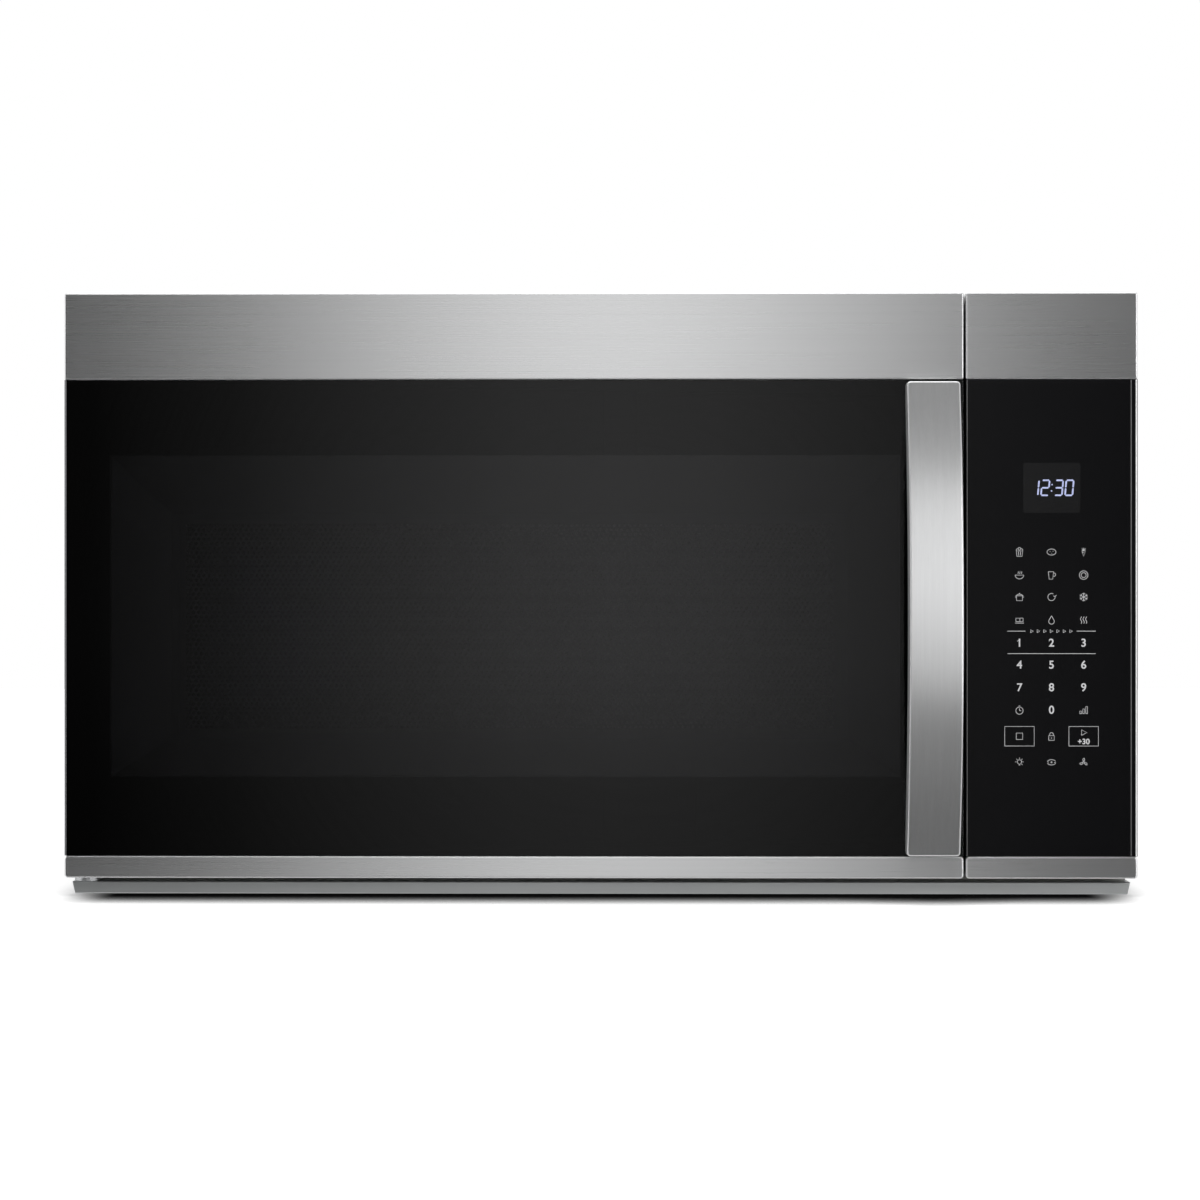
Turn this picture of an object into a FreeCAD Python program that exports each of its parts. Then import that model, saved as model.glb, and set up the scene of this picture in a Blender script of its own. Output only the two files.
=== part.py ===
import FreeCAD, Part
import math
import os

# Over-the-range microwave oven, in millimetres.
# +X to the viewer's right, +Y from the front into the wall, +Z up.
# The origin is on the wall plane, in the middle of the width, at the height of the base.

# ---- Driving dimensions --------------------------------------------------------------------

# Whole appliance
overall_width = 760.0
overall_height = 427.5
chassis_depth = 342.0         # wall to the front face plate
door_depth = 43.0             # face plate to the face of the glass

# Sheet metal and skins
case_sheet = 1.0
rear_sheet = 1.2
trim_sheet = 1.0
glass_thickness = 3.2
side_inset = 2.0              # case side behind the door's edge
top_inset = 3.0               # case top below the door's top

# Front layout
panel_width = 121.4
door_panel_gap = 1.4
door_bottom_z = 13.0
door_chassis_gap = 3.0
bottom_trim_height = 15.6
top_strip_height = 61.4
trim_return = 12.0            # depth of the folded edges of the steel trims
trim_edge_radius = 1.2
strip_corner_radius = 1.2
trim_corner_radius = 2.6
least_fillet = 0.3            # a smaller rounding is left sharp

# Base pan and its front rail
rail_height = 8.7
rail_setback = 20.0           # rail behind the glass
rail_end_taper = 2.0
base_sheet = 1.0
base_flange_height = 14.0
intake_slot_count = 17
intake_slot_pitch = 12.0
intake_slot_width = 5.0
intake_slot_length = 44.0
intake_from_front = 42.0      # face plate to the middle of the slots
side_screw_margin = 41.0      # case end to the first and last side screws

# Grease filters
filter_length = 292.0
filter_depth = 148.0
filter_thickness = 8.0
filter_rim = 8.0
filter_pad_thickness = 5.0
filter_side_gap = 46.0        # appliance side to the filter's outer end
filter_wall_gap = 76.0        # wall to the filter's back edge
filter_ledge = 6.0            # overlap on the pan at the front and back of the opening
filter_end_ledge = 8.0        # overlap at the two ends
filter_lift = 0.2
filter_side_clearance = 0.5
rail_lip = 5.0

# Cooktop lights
lens_length = 70.0
lens_width = 46.0
lens_thickness = 2.5
lens_overlap = 4.0
lens_from_side = 128.0
lens_from_front = 42.0
lamp_bulb_radius = 8.0
lamp_bulb_length = 30.0
lamp_socket_radius = 9.5
lamp_socket_length = 16.0
lamp_lens_gap = 1.0           # lens to the lowest point of the socket
lamp_end_gap = 4.0            # lens end to the bulb's foot
bulb_tip_flat = 1.0           # radius of the flat left on a bulb's domed end

# Cooking cavity
cavity_side_gap = 42.5        # appliance's left side to the liner
cavity_back_gap = 19.0        # wall to the liner's back wall
cavity_floor_z = 66.0
cavity_sheet = 1.0
cavity_corner = 8.0
vent_hole_radius = 2.2
vent_hole_pitch = 9.0
lamp_hole_count = 5           # holes each way in front of the oven lamp
outlet_hole_columns = 12
outlet_hole_rows = 3
oven_lamp_from_front = 71.0
oven_lamp_below_roof = 41.0

# Turntable
tray_wall_gap = 9.0           # tray's rim to the face plate and the liner's back wall
tray_thickness = 5.0
tray_rim_height = 8.0
tray_rim_width = 9.0
tray_edge = 2.0               # height of the rim's outer wall
tray_rim_top = 3.0            # width of the rim's flat top
tray_edge_radius = 1.0
roller_radius = 8.0
roller_width = 8.0
roller_track_radius = 104.0
roller_floor_gap = 0.2
roller_tray_gap = 0.3
roller_count = 3
ring_inner_radius = 86.0
ring_outer_radius = 94.0
ring_height = 6.0
axle_radius = 2.0
running_clearance = 0.05
axle_head_radius = 3.6
axle_head_length = 1.6
coupler_hub_radius = 10.0
coupler_lobe_length = 24.0
coupler_lobe_width = 9.0
coupler_clearance = 1.5       # lobes above the cavity floor
turntable_shaft_radius = 3.5
motor_disc_radius = 24.5
motor_disc_height = 18.0
motor_ear_reach = 10.0
motor_ear_width = 12.0
motor_ear_sheet = 1.5
motor_terminal = 14.0         # width of the block that holds the two tabs
shaft_end_gap = 0.5
shaft_seat = 3.0              # motor floor under the shaft
shaft_in_coupler = 9.0

# Door window and inner parts
window_left = 32.3            # door's edge to the outer edge of the stamped recess
window_right = 45.0
window_bottom = 71.7
window_top = 114.9
funnel_inset_left = 39.3
funnel_inset_right = 34.4
funnel_inset_top = 39.6
funnel_inset_bottom = 24.8
funnel_depth = 22.0
door_steel_sheet = 0.8
door_front_wall = 2.8
door_side_wall = 3.0
door_corner_radius = 10.0
choke_thickness = 2.0
inner_flange = 14.0
inner_glass_thickness = 3.0
inner_glass_overlap = 8.0
glass_edge_radius = 0.8
screen_lip = 6.0              # funnel's back edge over the rim of the screen

# Door handle
handle_width = 37.5
handle_right = 3.7            # gap from the door's right edge
handle_end_gap_top = 2.2      # handle end to the steel strip
handle_end_gap_bottom = 1.0
handle_end_standoff = 12.0
handle_mid_standoff = 35.0
handle_mid_clear = 17.0       # finger room behind the middle
handle_foot = 22.0
handle_edge_radius = 1.3
handle_corner_radius = 2.6
screw_shank_radius = 2.4
screw_head_radius = 5.0
screw_head_height = 3.2
screw_bite = 9.0

# Door hinge
hinge_from_side = 12.0
hinge_from_glass = 25.0
hinge_plate = 2.5
hinge_half_width = 9.0
hinge_pin_radius = 3.0
hinge_pin_length = 15.0
hinge_flange_height = 46.0
hinge_flange_width = 30.0
hinge_flange_sheet = 1.8
hinge_gap = 1.3               # lower plate to the door's underside
hinge_notch_height = 10.5
hinge_notch_clear = 2.5
hinge_notch_front = 4.0       # notch in front of the hinge plate

# Latch and catch
latch_from_edge = 18.2        # door's right edge to the bar's middle
latch_bar_width = 6.0
latch_bar_depth = 9.0
latch_hook_from_bottom = 137.0
latch_hook_from_top = 137.5
latch_hook_height = 10.0
latch_hook_reach = 22.0       # beyond the front face plate
latch_tooth_depth = 3.0
latch_tooth_length = 8.0
latch_tip_slope = 4.0         # rounding of the hook's nose and tooth, as short flats
latch_tip_edge = 1.0
latch_travel = 3.5
latch_clearance = 1.2
latch_guide_gap = 0.3
latch_guide_wall = 2.5
latch_guide_end = 10.0        # bar's ends stand out of the guides
latch_stop_length = 30.0
latch_stop_from_end = 14.0
spring_peg = 4.0
spring_coil_radius = 3.0
spring_wire_radius = 0.45
spring_turns = 10
spring_length = 36.0
catch_wall = 3.0
catch_depth = 38.0
catch_margin = 20.0           # block past the latch bar's ends
catch_flange_width = 12.0
catch_ledge = 7.0
catch_play = 1.0              # tooth to the ledge, front to back
switch_width = 6.4
switch_length = 28.0
switch_height = 16.0
switch_setback = 3.0
plunger_width = 2.0
plunger_length = 3.0
plunger_height = 1.5
plunger_from_front = 8.0

# Control panel
panel_front_wall = 3.0
panel_side_wall = 3.0
display_width = 62.0
display_height = 40.0
display_depth = 12.0
display_below_strip = 76.8    # steel strip to the middle of the display
display_lip = 3.0             # front wall over the edge of the display's housing
display_fit = 0.2
board_width = 88.0
board_height = 240.0
board_thickness = 1.6
board_bottom_z = 92.0
standoff_radius = 4.0
standoff_inset = 8.0
relay_count = 3
relay_size = (19.0, 15.0, 20.0)
relay_pitch = 30.0
board_transformer_size = (34.0, 16.0, 34.0)
connector_size = (34.0, 8.0, 10.0)
board_column_gap = 8.0        # board's edge to the relays, and between its two columns

# Component bay
shelf_z = 30.0
shelf_sheet = 1.0
leg_back_length = 48.0
leg_front_length = 78.0
transformer_left_gap = 18.0
transformer_fan_gap = 24.0    # fan wall to the transformer
transformer_size = (100.0, 88.0, 84.0)
core_depth = 49.0
core_foot_depth = 70.0
core_foot_sheet = 2.0
winding_reach = 16.0          # winding out of the core, front and back
winding_height = 22.5
winding_gap = 8.5
winding_inset = 14.0          # winding's ends inside the core's ends
winding_corner = 4.5
capacitor_gap = 8.0
capacitor_size = (35.0, 54.0, 92.0)
capacitor_side_gap = 7.5      # can to the case
terminal_radius = 4.0
terminal_height = 6.0
terminal_spacing = 22.0
rectifier_gap = 14.0
rectifier_radius = 3.0
rectifier_length = 18.0
rectifier_post = (10.0, 4.0, 12.0)
waveguide_depth = 30.0
waveguide_width = 96.0
waveguide_below_roof = 32.0   # liner's roof to the duct's top
waveguide_height = 130.0
waveguide_sheet = 1.2
aperture_width = 90.0
aperture_height = 40.0
aperture_from_bottom = 34.0   # duct's bottom to the middle of the aperture
mica_thickness = 0.4
magnetron_size = (88.0, 80.0, 90.0)
antenna_from_top = 40.0       # duct's top to the antenna
magnetron_frame_length = 60.0
magnetron_plate = 2.0
fin_count = 6
fin_sheet = 1.0
fin_inset = 2.0
anode_radius = 19.0
filter_box_inset = 8.0
antenna_radius = 10.0
antenna_length = 22.0
fan_from_side = 84.0          # inside of the case to the fan's axis
fan_below_magnetron = 10.0
fan_wall_y = -66.0
fan_wall_thickness = 3.0
fan_hole_radius = 48.0
fan_blade_radius = 45.0
fan_blade_count = 5
fan_hub_radius = 14.0
fan_blade_depth = 14.0
fan_shaft_radius = 3.0
fan_motor_size = (62.0, 28.0, 50.0)
fan_blade_width = 24.0
fan_blade_sheet = 1.6
fan_blade_root = 3.0          # blade's root inside the hub
fan_blade_angle = 28.0
fan_blade_gap = 3.0           # fan wall to the blades
fan_blade_motor_gap = 4.0
fan_boss_radius = 13.0
fan_boss_reach = 6.0          # boss out of the motor's frame, front and back
fan_arm_radius = 4.0
fan_arm_gap = 8.0             # edge of the fan's opening to the arms
fan_arm_bar = (12.0, 4.0)     # height and thickness of the bar behind the motor
filter_board_size = (110.0, 90.0)
filter_board_top_gap = 15.5
filter_board_standoff = 6.0
filter_board_standoff_spacing = (80.0, 50.0)
filter_choke_radius = 15.0
filter_choke_bore = 7.0
filter_choke_depth = 14.0
filter_capacitor_size = (28.0, 16.0, 22.0)
fuse_holder_size = (36.0, 9.0, 10.0)
filter_part_gap = 9.0
cutout_radius = 8.0
cutout_height = 7.0
cutout_flange_radius = 11.2
cutout_flange = 1.0
cutout_from_floor = 51.0      # liner's floor to the cutout on its right wall
oven_lamp_bracket = (36.0, 2.0)
oven_lamp_from_wall = 32.0
oven_lamp_arm = 1.5
oven_socket_radius = 10.0
oven_socket_length = 14.0
oven_bulb_radius = 8.0
oven_bulb_length = 20.0

# Vent blower
blower_y = -75.0
blower_top_gap = 7.0          # scroll to the top sheet
scroll_radius = 46.0
scroll_wall = 1.2
scroll_outlet_height = 34.0
scroll_outlet_reach = 60.0
scroll_width = 90.0
wheel_radius = 36.0
wheel_blade_depth = 7.0
wheel_width = 78.0
wheel_blade_count = 24
inlet_radius = 32.0
blower_motor_radius = 36.0
blower_motor_length = 70.0
blower_shaft_radius = 4.0
blower_plate = 1.5
scroll_motor_gap = 5.0
scroll_foot_width = 40.0
scroll_foot_height = 6.0      # foot's top above the scroll's lowest point
saddle_width = 44.0
saddle_inset = 10.0           # saddle inside the motor's ends
saddle_height = 8.0           # saddle's top above the motor's lowest point
blower_motor_edge = 5.0
wheel_disc = 1.5
wheel_ring = 2.0
wheel_hub_radius = 10.0
wheel_hub_length = 14.0
wheel_hub_offset = 6.0
wheel_blade_sheet = 1.0
wheel_blade_angle = 25.0

# Top of the case
exhaust_width = 254.0
exhaust_depth = 83.0
exhaust_from_wall = 32.0
exhaust_cover_sheet = 1.0
exhaust_cover_border = 12.0
grille_side_gap = 40.0        # appliance side to the grille's end
grille_depth = 50.0
grille_thickness = 6.0
grille_end_rim = 16.0
grille_slot_pitch = 12.0
grille_slot_width = 8.0
grille_tab = 4.0
charcoal_length = 300.0
charcoal_thickness = 12.0
bolt_spacing = 600.0
bolt_from_front = 92.0
bolt_hole_radius = 2.6
bush_radius = 8.0
bush_height = 12.0
bush_shoulder = 2.0           # bush's body wider than its neck
gland_from_side = 40.0
gland_y = -40.0
gland_hole_radius = 6.0
gland_neck_radius = 11.0
gland_flange_radius = 15.0
gland_flange = 1.8

# Wall plate slots in the rear panel
wall_slot_spacing = 440.0
wall_slot_length = 50.0
wall_slot_radius = 3.0
wall_slot_z = 22.0

# Small screws
small_shank_radius = 1.9
small_head_radius = 4.0
small_head_height = 1.8
small_shank_length = 6.0
screw_hole_clearance = 0.1

# ---- Derived places ------------------------------------------------------------------------

half_width = overall_width / 2
face_y = -(chassis_depth + door_depth)
chassis_y = -chassis_depth
glass_back_y = face_y + glass_thickness
door_back_y = chassis_y - door_chassis_gap
case_half = half_width - side_inset
case_inner = case_half - case_sheet
case_top_z = overall_height - top_inset
case_ceiling_z = case_top_z - case_sheet
rail_y = face_y + rail_setback

door_left = -half_width
panel_right = half_width
panel_left = panel_right - panel_width
door_right = panel_left - door_panel_gap
panel_centre_x = (panel_left + panel_right) / 2
glass_bottom_z = door_bottom_z + bottom_trim_height
glass_top_z = overall_height - top_strip_height

bay_width = (transformer_left_gap + transformer_size[0] + capacitor_gap + capacitor_size[0]
             + capacitor_side_gap)
bay_right_x = case_inner
bay_left_x = bay_right_x - bay_width
cavity_left_x = -half_width + cavity_side_gap
cavity_right_x = bay_left_x - cavity_sheet
cavity_centre_x = (cavity_left_x + cavity_right_x) / 2
cavity_front_y = chassis_y + case_sheet
cavity_back_y = -cavity_back_gap
cavity_centre_y = (chassis_y + cavity_back_y) / 2
cavity_roof_z = case_ceiling_z - blower_top_gap - 2 * scroll_radius - blower_plate
cavity_top_z = cavity_roof_z - cavity_sheet
tray_radius = (cavity_back_y - chassis_y) / 2 - tray_wall_gap

window_x0 = door_left + window_left
window_x1 = door_right - window_right
window_z0 = door_bottom_z + window_bottom
window_z1 = overall_height - window_top
screen_x0 = window_x0 + funnel_inset_left
screen_x1 = window_x1 - funnel_inset_right
screen_z0 = window_z0 + funnel_inset_bottom
screen_z1 = window_z1 - funnel_inset_top
steel_front_y = glass_back_y + door_front_wall
screen_y = steel_front_y + funnel_depth

handle_x1 = door_right - handle_right
handle_x0 = handle_x1 - handle_width
handle_z0 = glass_bottom_z + handle_end_gap_bottom
handle_z1 = glass_top_z - handle_end_gap_top

hinge_x = door_left + hinge_from_side
hinge_y = face_y + hinge_from_glass
hinge_notch_z = overall_height - hinge_notch_height
hinge_lower_z = door_bottom_z - hinge_gap - hinge_plate
hinge_upper_z = hinge_notch_z + hinge_notch_clear

roller_axis_z = cavity_floor_z + roller_floor_gap + roller_radius
tray_bottom_z = roller_axis_z + roller_radius + roller_tray_gap

latch_centre_x = door_right - latch_from_edge
latch_hook_z = (door_bottom_z + latch_hook_from_bottom, overall_height - latch_hook_from_top)
latch_bar_back_y = door_back_y - choke_thickness - latch_guide_gap
latch_bar_front_y = latch_bar_back_y - latch_bar_depth
latch_bar_z0 = latch_hook_z[0] - latch_hook_height
latch_bar_z1 = latch_hook_z[1] + latch_hook_height

filter_centre_x = half_width - filter_side_gap - filter_length / 2
filter_centre_y = -filter_wall_gap - filter_depth / 2
lens_centre_x = half_width - lens_from_side
lens_centre_y = chassis_y + lens_from_front
intake_y = chassis_y + intake_from_front

oven_lamp_y = cavity_front_y + oven_lamp_from_front
oven_lamp_z = cavity_top_z - oven_lamp_below_roof
waveguide_top_z = cavity_top_z - waveguide_below_roof
waveguide_bottom_z = waveguide_top_z - waveguide_height
waveguide_centre_y = cavity_centre_y
aperture_z = waveguide_bottom_z + aperture_from_bottom
magnetron_z = waveguide_top_z - antenna_from_top
fan_centre_x = bay_right_x - fan_from_side
fan_centre_z = magnetron_z - fan_below_magnetron

blower_z = cavity_roof_z + blower_plate + scroll_radius
blower_centre_x = cavity_centre_x
display_centre_z = glass_top_z - display_below_strip

grille_length = overall_width - 2 * grille_side_gap
grille_slot_count = int((grille_length - 2 * grille_end_rim) / grille_slot_pitch)
bolt_y = chassis_y + bolt_from_front
gland_x = half_width - gland_from_side

hole_slack = screw_hole_clearance
cut_over = 1.0                # cutters reach this far past the faces they cut


# ---- Small helpers -------------------------------------------------------------------------

def vec(x, y, z):
    return FreeCAD.Vector(x, y, z)


X_AXIS = vec(1, 0, 0)
Y_AXIS = vec(0, 1, 0)
Z_AXIS = vec(0, 0, 1)


def box(x0, x1, y0, y1, z0, z1):
    """Block between two opposite corners."""
    return Part.makeBox(x1 - x0, y1 - y0, z1 - z0, vec(x0, y0, z0))


def rod(radius, length, base, axis=Z_AXIS):
    """Round bar from base along axis."""
    return Part.makeCylinder(radius, length, base, axis)


def pipe(outer, inner, length, base, axis=Z_AXIS):
    """Round bar with a bore right through."""
    return rod(outer, length, base, axis).cut(rod(inner, length, base, axis))


def fuse(shapes):
    """One solid from pieces that meet."""
    first, *others = shapes
    return first.multiFuse(others).removeSplitter() if others else first


def face_from(points):
    """Flat face bounded by straight lines through the points."""
    return Part.Face(Part.makePolygon(points + points[:1]))


def fillet_where(shape, radius, wanted):
    """Round the edges whose middle point and direction pass the test."""
    edges = [e for e in shape.Edges if wanted(middle(e), direction(e))]
    return shape.makeFillet(radius, edges)


def middle(edge):
    return edge.valueAt((edge.FirstParameter + edge.LastParameter) / 2)


def direction(edge):
    along = edge.tangentAt((edge.FirstParameter + edge.LastParameter) / 2)
    return vec(abs(along.x), abs(along.y), abs(along.z))


def near(a, b):
    return abs(a - b) < 1e-4


def slot_block(length, radius, centre, depth):
    """Round-ended cutter that lies along X and goes through along Y."""
    reach = length / 2 - radius
    start = centre - vec(0, depth / 2, 0)
    ends = [rod(radius, depth, start + vec(side * reach, 0, 0), Y_AXIS) for side in (-1, 1)]
    middle_block = Part.makeBox(2 * reach, depth, 2 * radius, start - vec(reach, 0, radius))
    return fuse([middle_block] + ends)


def ring_plate(outer, inner, y0, y1):
    """Flat frame in the XZ plane; outer and inner are (x0, x1, z0, z1)."""
    plate = box(outer[0], outer[1], y0, y1, outer[2], outer[3])
    return plate.cut(box(inner[0], inner[1], y0 - 1, y1 + 1, inner[2], inner[3]))


def grow(rectangle, by):
    """A rectangle (x0, x1, z0, z1) moved outwards on all sides."""
    return (rectangle[0] - by, rectangle[1] + by, rectangle[2] - by, rectangle[3] + by)


def small_screw(surface, axis):
    """Pan head screw whose head sits on the surface and points along the axis."""
    head = rod(small_head_radius, small_head_height, surface, axis)
    head = fillet_where(head, small_head_height * 0.6,
                        lambda p, d: (p - surface).dot(axis) > small_head_height / 2
                        and abs(d.dot(axis)) < 0.5)
    shank = rod(small_shank_radius, small_shank_length, surface, axis * -1)
    return fuse([head, shank])


def screw_hole(surface, axis):
    """Cutter that leaves room for a small screw's shank."""
    reach = small_shank_length + hole_slack
    return rod(small_shank_radius + hole_slack, 2 * reach, surface - axis * reach, axis)


# ---- Case, base and rear -------------------------------------------------------------------

window = (window_x0, window_x1, window_z0, window_z1)
screen = (screen_x0, screen_x1, screen_z0, screen_z1)

exhaust_back_y = -exhaust_from_wall
exhaust_front_y = exhaust_back_y - exhaust_depth
cover_x = exhaust_width / 2 + exhaust_cover_border
cover_y0 = exhaust_front_y - exhaust_cover_border
cover_y1 = exhaust_back_y + exhaust_cover_border
cover_top_z = case_top_z + exhaust_cover_sheet
cover_screw_inset = exhaust_cover_border / 2

cover_screws = [(vec(side * (cover_x - cover_screw_inset), y, cover_top_z), Z_AXIS)
                for side in (-1, 1)
                for y in (cover_y0 + cover_screw_inset, cover_y1 - cover_screw_inset)]
side_screw_z = base_sheet + base_flange_height / 2
side_screws = [(vec(side * case_half, y, side_screw_z), X_AXIS * side)
               for side in (-1, 1)
               for y in (-side_screw_margin, chassis_y / 2, chassis_y + side_screw_margin)]
all_case_screws = cover_screws + side_screws


def cut_screw_holes(shape, screws):
    return shape.cut(Part.makeCompound([screw_hole(*screw) for screw in screws]))


def make_outer_case():
    """Folded sheet: two sides and the top."""
    shell = box(-case_half, case_half, chassis_y, -rear_sheet, base_sheet, case_top_z)
    shell = fillet_where(shell, case_sheet, lambda p, d: d.y > 0.5 and near(p.z, case_top_z))
    hollow = box(-case_inner, case_inner, chassis_y - 1, 0, 0, case_ceiling_z)
    outlet = box(-exhaust_width / 2, exhaust_width / 2, exhaust_front_y, exhaust_back_y,
                 case_ceiling_z - 1, case_top_z + 1)
    grille_bay = box(-grille_length / 2, grille_length / 2, chassis_y - 1, chassis_y + grille_depth,
                     case_ceiling_z - 1, case_top_z + 1)
    cutters = [hollow, outlet, grille_bay]
    round_holes = [(bush_radius - bush_shoulder, x, bolt_y)
                   for x in (-bolt_spacing / 2, bolt_spacing / 2)]
    round_holes.append((gland_neck_radius, gland_x, gland_y))
    cutters += [rod(radius + hole_slack, case_sheet + 2 * cut_over,
                    vec(x, y, case_ceiling_z - cut_over)) for radius, x, y in round_holes]
    return cut_screw_holes(shell.cut(Part.makeCompound(cutters)), all_case_screws)


def make_rear_panel():
    """Flat back sheet; its outer face is the wall plane."""
    sheet = box(-case_half, case_half, -rear_sheet, 0, 0, case_top_z)
    slots = [slot_block(wall_slot_length, wall_slot_radius, vec(x, 0, wall_slot_z), 4 * rear_sheet)
             for x in (-wall_slot_spacing / 2, wall_slot_spacing / 2)]
    return sheet.cut(Part.makeCompound(slots))


def make_rail():
    """Front rail of the base: a folded channel with tapered ends."""
    top_half = case_half
    bottom_half = case_half - rail_end_taper
    outline = face_from([vec(-bottom_half, rail_y, 0), vec(bottom_half, rail_y, 0),
                         vec(top_half, rail_y, rail_height), vec(-top_half, rail_y, rail_height)])
    rail = outline.extrude(vec(0, chassis_y - rail_y, 0))
    rail = fillet_where(rail, base_sheet, lambda p, d: d.x > 0.9 and near(p.y, rail_y))
    inside = box(-bottom_half + 2 * base_sheet, bottom_half - 2 * base_sheet, rail_y + base_sheet,
                 chassis_y + 1, base_sheet, rail_height - base_sheet)
    return rail.cut(inside)


def filter_guides(centre_x):
    """Two folded rails that hold a grease filter down and guide it along X."""
    half = filter_length / 2
    lip_z = base_sheet + 2 * filter_lift + filter_thickness
    pieces = []
    for side in (-1, 1):
        wall_in = filter_centre_y + side * (filter_depth / 2 + filter_side_clearance)
        wall_out = wall_in + side * base_sheet
        lip_in = wall_in - side * rail_lip
        y_wall = sorted((wall_in, wall_out))
        y_lip = sorted((lip_in, wall_out))
        pieces.append(box(centre_x - half, centre_x + half, y_wall[0], y_wall[1], base_sheet, lip_z))
        pieces.append(box(centre_x - half, centre_x + half, y_lip[0], y_lip[1], lip_z,
                          lip_z + base_sheet))
    return pieces


def make_base_pan():
    """Bottom sheet with the rail, side flanges, filter guides and openings."""
    flange_top = base_sheet + base_flange_height
    sheet = box(-case_inner, case_inner, chassis_y, -rear_sheet, 0, base_sheet)
    pieces = [sheet, make_rail()]
    for side in (-1, 1):
        edge = sorted((side * case_inner, side * (case_inner - base_sheet)))
        pieces.append(box(edge[0], edge[1], cavity_front_y, -rear_sheet, base_sheet, flange_top))
        pieces += filter_guides(side * filter_centre_x)
    pan = fuse(pieces)
    cutters = []
    for side in (-1, 1):
        half_x = filter_length / 2 - filter_end_ledge
        half_y = filter_depth / 2 - filter_ledge
        x = side * filter_centre_x
        cutters.append(box(x - half_x, x + half_x, filter_centre_y - half_y,
                           filter_centre_y + half_y, -1, base_sheet + 1))
        x = side * lens_centre_x
        half_x = lens_length / 2 - lens_overlap
        half_y = lens_width / 2 - lens_overlap
        cutters.append(box(x - half_x, x + half_x, lens_centre_y - half_y, lens_centre_y + half_y,
                           -1, base_sheet + 1))
    first = -intake_slot_pitch * (intake_slot_count - 1) / 2
    for index in range(intake_slot_count):
        x = first + index * intake_slot_pitch
        cutters.append(box(x - intake_slot_width / 2, x + intake_slot_width / 2,
                           intake_y - intake_slot_length / 2, intake_y + intake_slot_length / 2,
                           -1, base_sheet + 1))
    return cut_screw_holes(pan.cut(Part.makeCompound(cutters)), side_screws)


def hinge_screw_points(plate_z, upwards):
    """Two countersunk screw places on a hinge flange."""
    sign = 1 if upwards else -1
    return [vec(hinge_x + hinge_half_width, chassis_y - hinge_flange_sheet,
                plate_z + sign * hinge_flange_height * share) for share in (0.45, 0.8)]


hinge_screws = (hinge_screw_points(hinge_lower_z, True)
                + hinge_screw_points(hinge_upper_z + hinge_plate, False))


def make_front_frame():
    """Face sheet with the cavity mouth, catch slots and the opening behind the control panel."""
    sheet = box(-case_inner, case_inner, chassis_y, cavity_front_y, base_sheet, case_ceiling_z)
    mouth = box(cavity_left_x, cavity_right_x, chassis_y - 1, cavity_front_y + 1, cavity_floor_z,
                cavity_top_z)
    mouth = fillet_where(mouth, cavity_corner, lambda p, d: d.y > 0.5)
    half = latch_bar_width / 2 + latch_clearance
    cutters = [mouth]
    for z in latch_hook_z:
        low = z - latch_hook_height / 2 - latch_tooth_depth - latch_clearance
        high = z + latch_hook_height / 2 + latch_travel + latch_clearance
        cutters.append(box(latch_centre_x - half, latch_centre_x + half, chassis_y - 1,
                           cavity_front_y + 1, low, high))
    cutters.append(box(panel_centre_x - board_width / 3, panel_centre_x + board_width / 3,
                       chassis_y - 1, cavity_front_y + 1, board_bottom_z,
                       board_bottom_z + board_height / 2))
    cutters += [rod(small_shank_radius + hole_slack, 6 * case_sheet, p, Y_AXIS) for p in hinge_screws]
    return sheet.cut(Part.makeCompound(cutters))


def make_case_screws():
    """Pan head screws of the case and the flush screws of the two hinges."""
    screws = [small_screw(*screw) for screw in all_case_screws]
    for p in hinge_screws:
        head = rod(small_head_radius, hinge_flange_sheet, p, Y_AXIS)
        shank = rod(small_shank_radius, small_shank_length, p, Y_AXIS)
        screws.append(fuse([head, shank]))
    return screws


def make_exhaust_cover():
    """Plate screwed over the roof-duct outlet."""
    plate = box(-cover_x, cover_x, cover_y0, cover_y1, case_top_z, cover_top_z)
    plate = fillet_where(plate, exhaust_cover_border / 2, lambda p, d: d.z > 0.5)
    return cut_screw_holes(plate, cover_screws)


def make_top_bolt_bushes():
    """Two threaded bushes under the top sheet, for the cabinet bolts."""
    bushes = []
    for x in (-bolt_spacing / 2, bolt_spacing / 2):
        body = rod(bush_radius, bush_height, vec(x, bolt_y, case_ceiling_z - bush_height))
        neck = rod(bush_radius - bush_shoulder, case_sheet, vec(x, bolt_y, case_ceiling_z))
        bore = rod(bolt_hole_radius, bush_height + case_sheet,
                   vec(x, bolt_y, case_ceiling_z - bush_height))
        bushes.append(fuse([body, neck]).cut(bore))
    return bushes


def make_cord_gland():
    """Bush in the top sheet that the mains lead would leave by."""
    centre = vec(gland_x, gland_y, case_ceiling_z)
    neck = rod(gland_neck_radius, case_sheet, centre)
    upper = rod(gland_flange_radius, gland_flange, centre + vec(0, 0, case_sheet))
    upper = fillet_where(upper, gland_flange * 0.6, lambda p, d: p.z > case_top_z + gland_flange / 2)
    lower = rod(gland_flange_radius, 2 * gland_flange, centre - vec(0, 0, 2 * gland_flange))
    length = case_sheet + 3 * gland_flange
    return fuse([neck, upper, lower]).cut(rod(gland_hole_radius, length,
                                              centre - vec(0, 0, 2 * gland_flange)))


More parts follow.
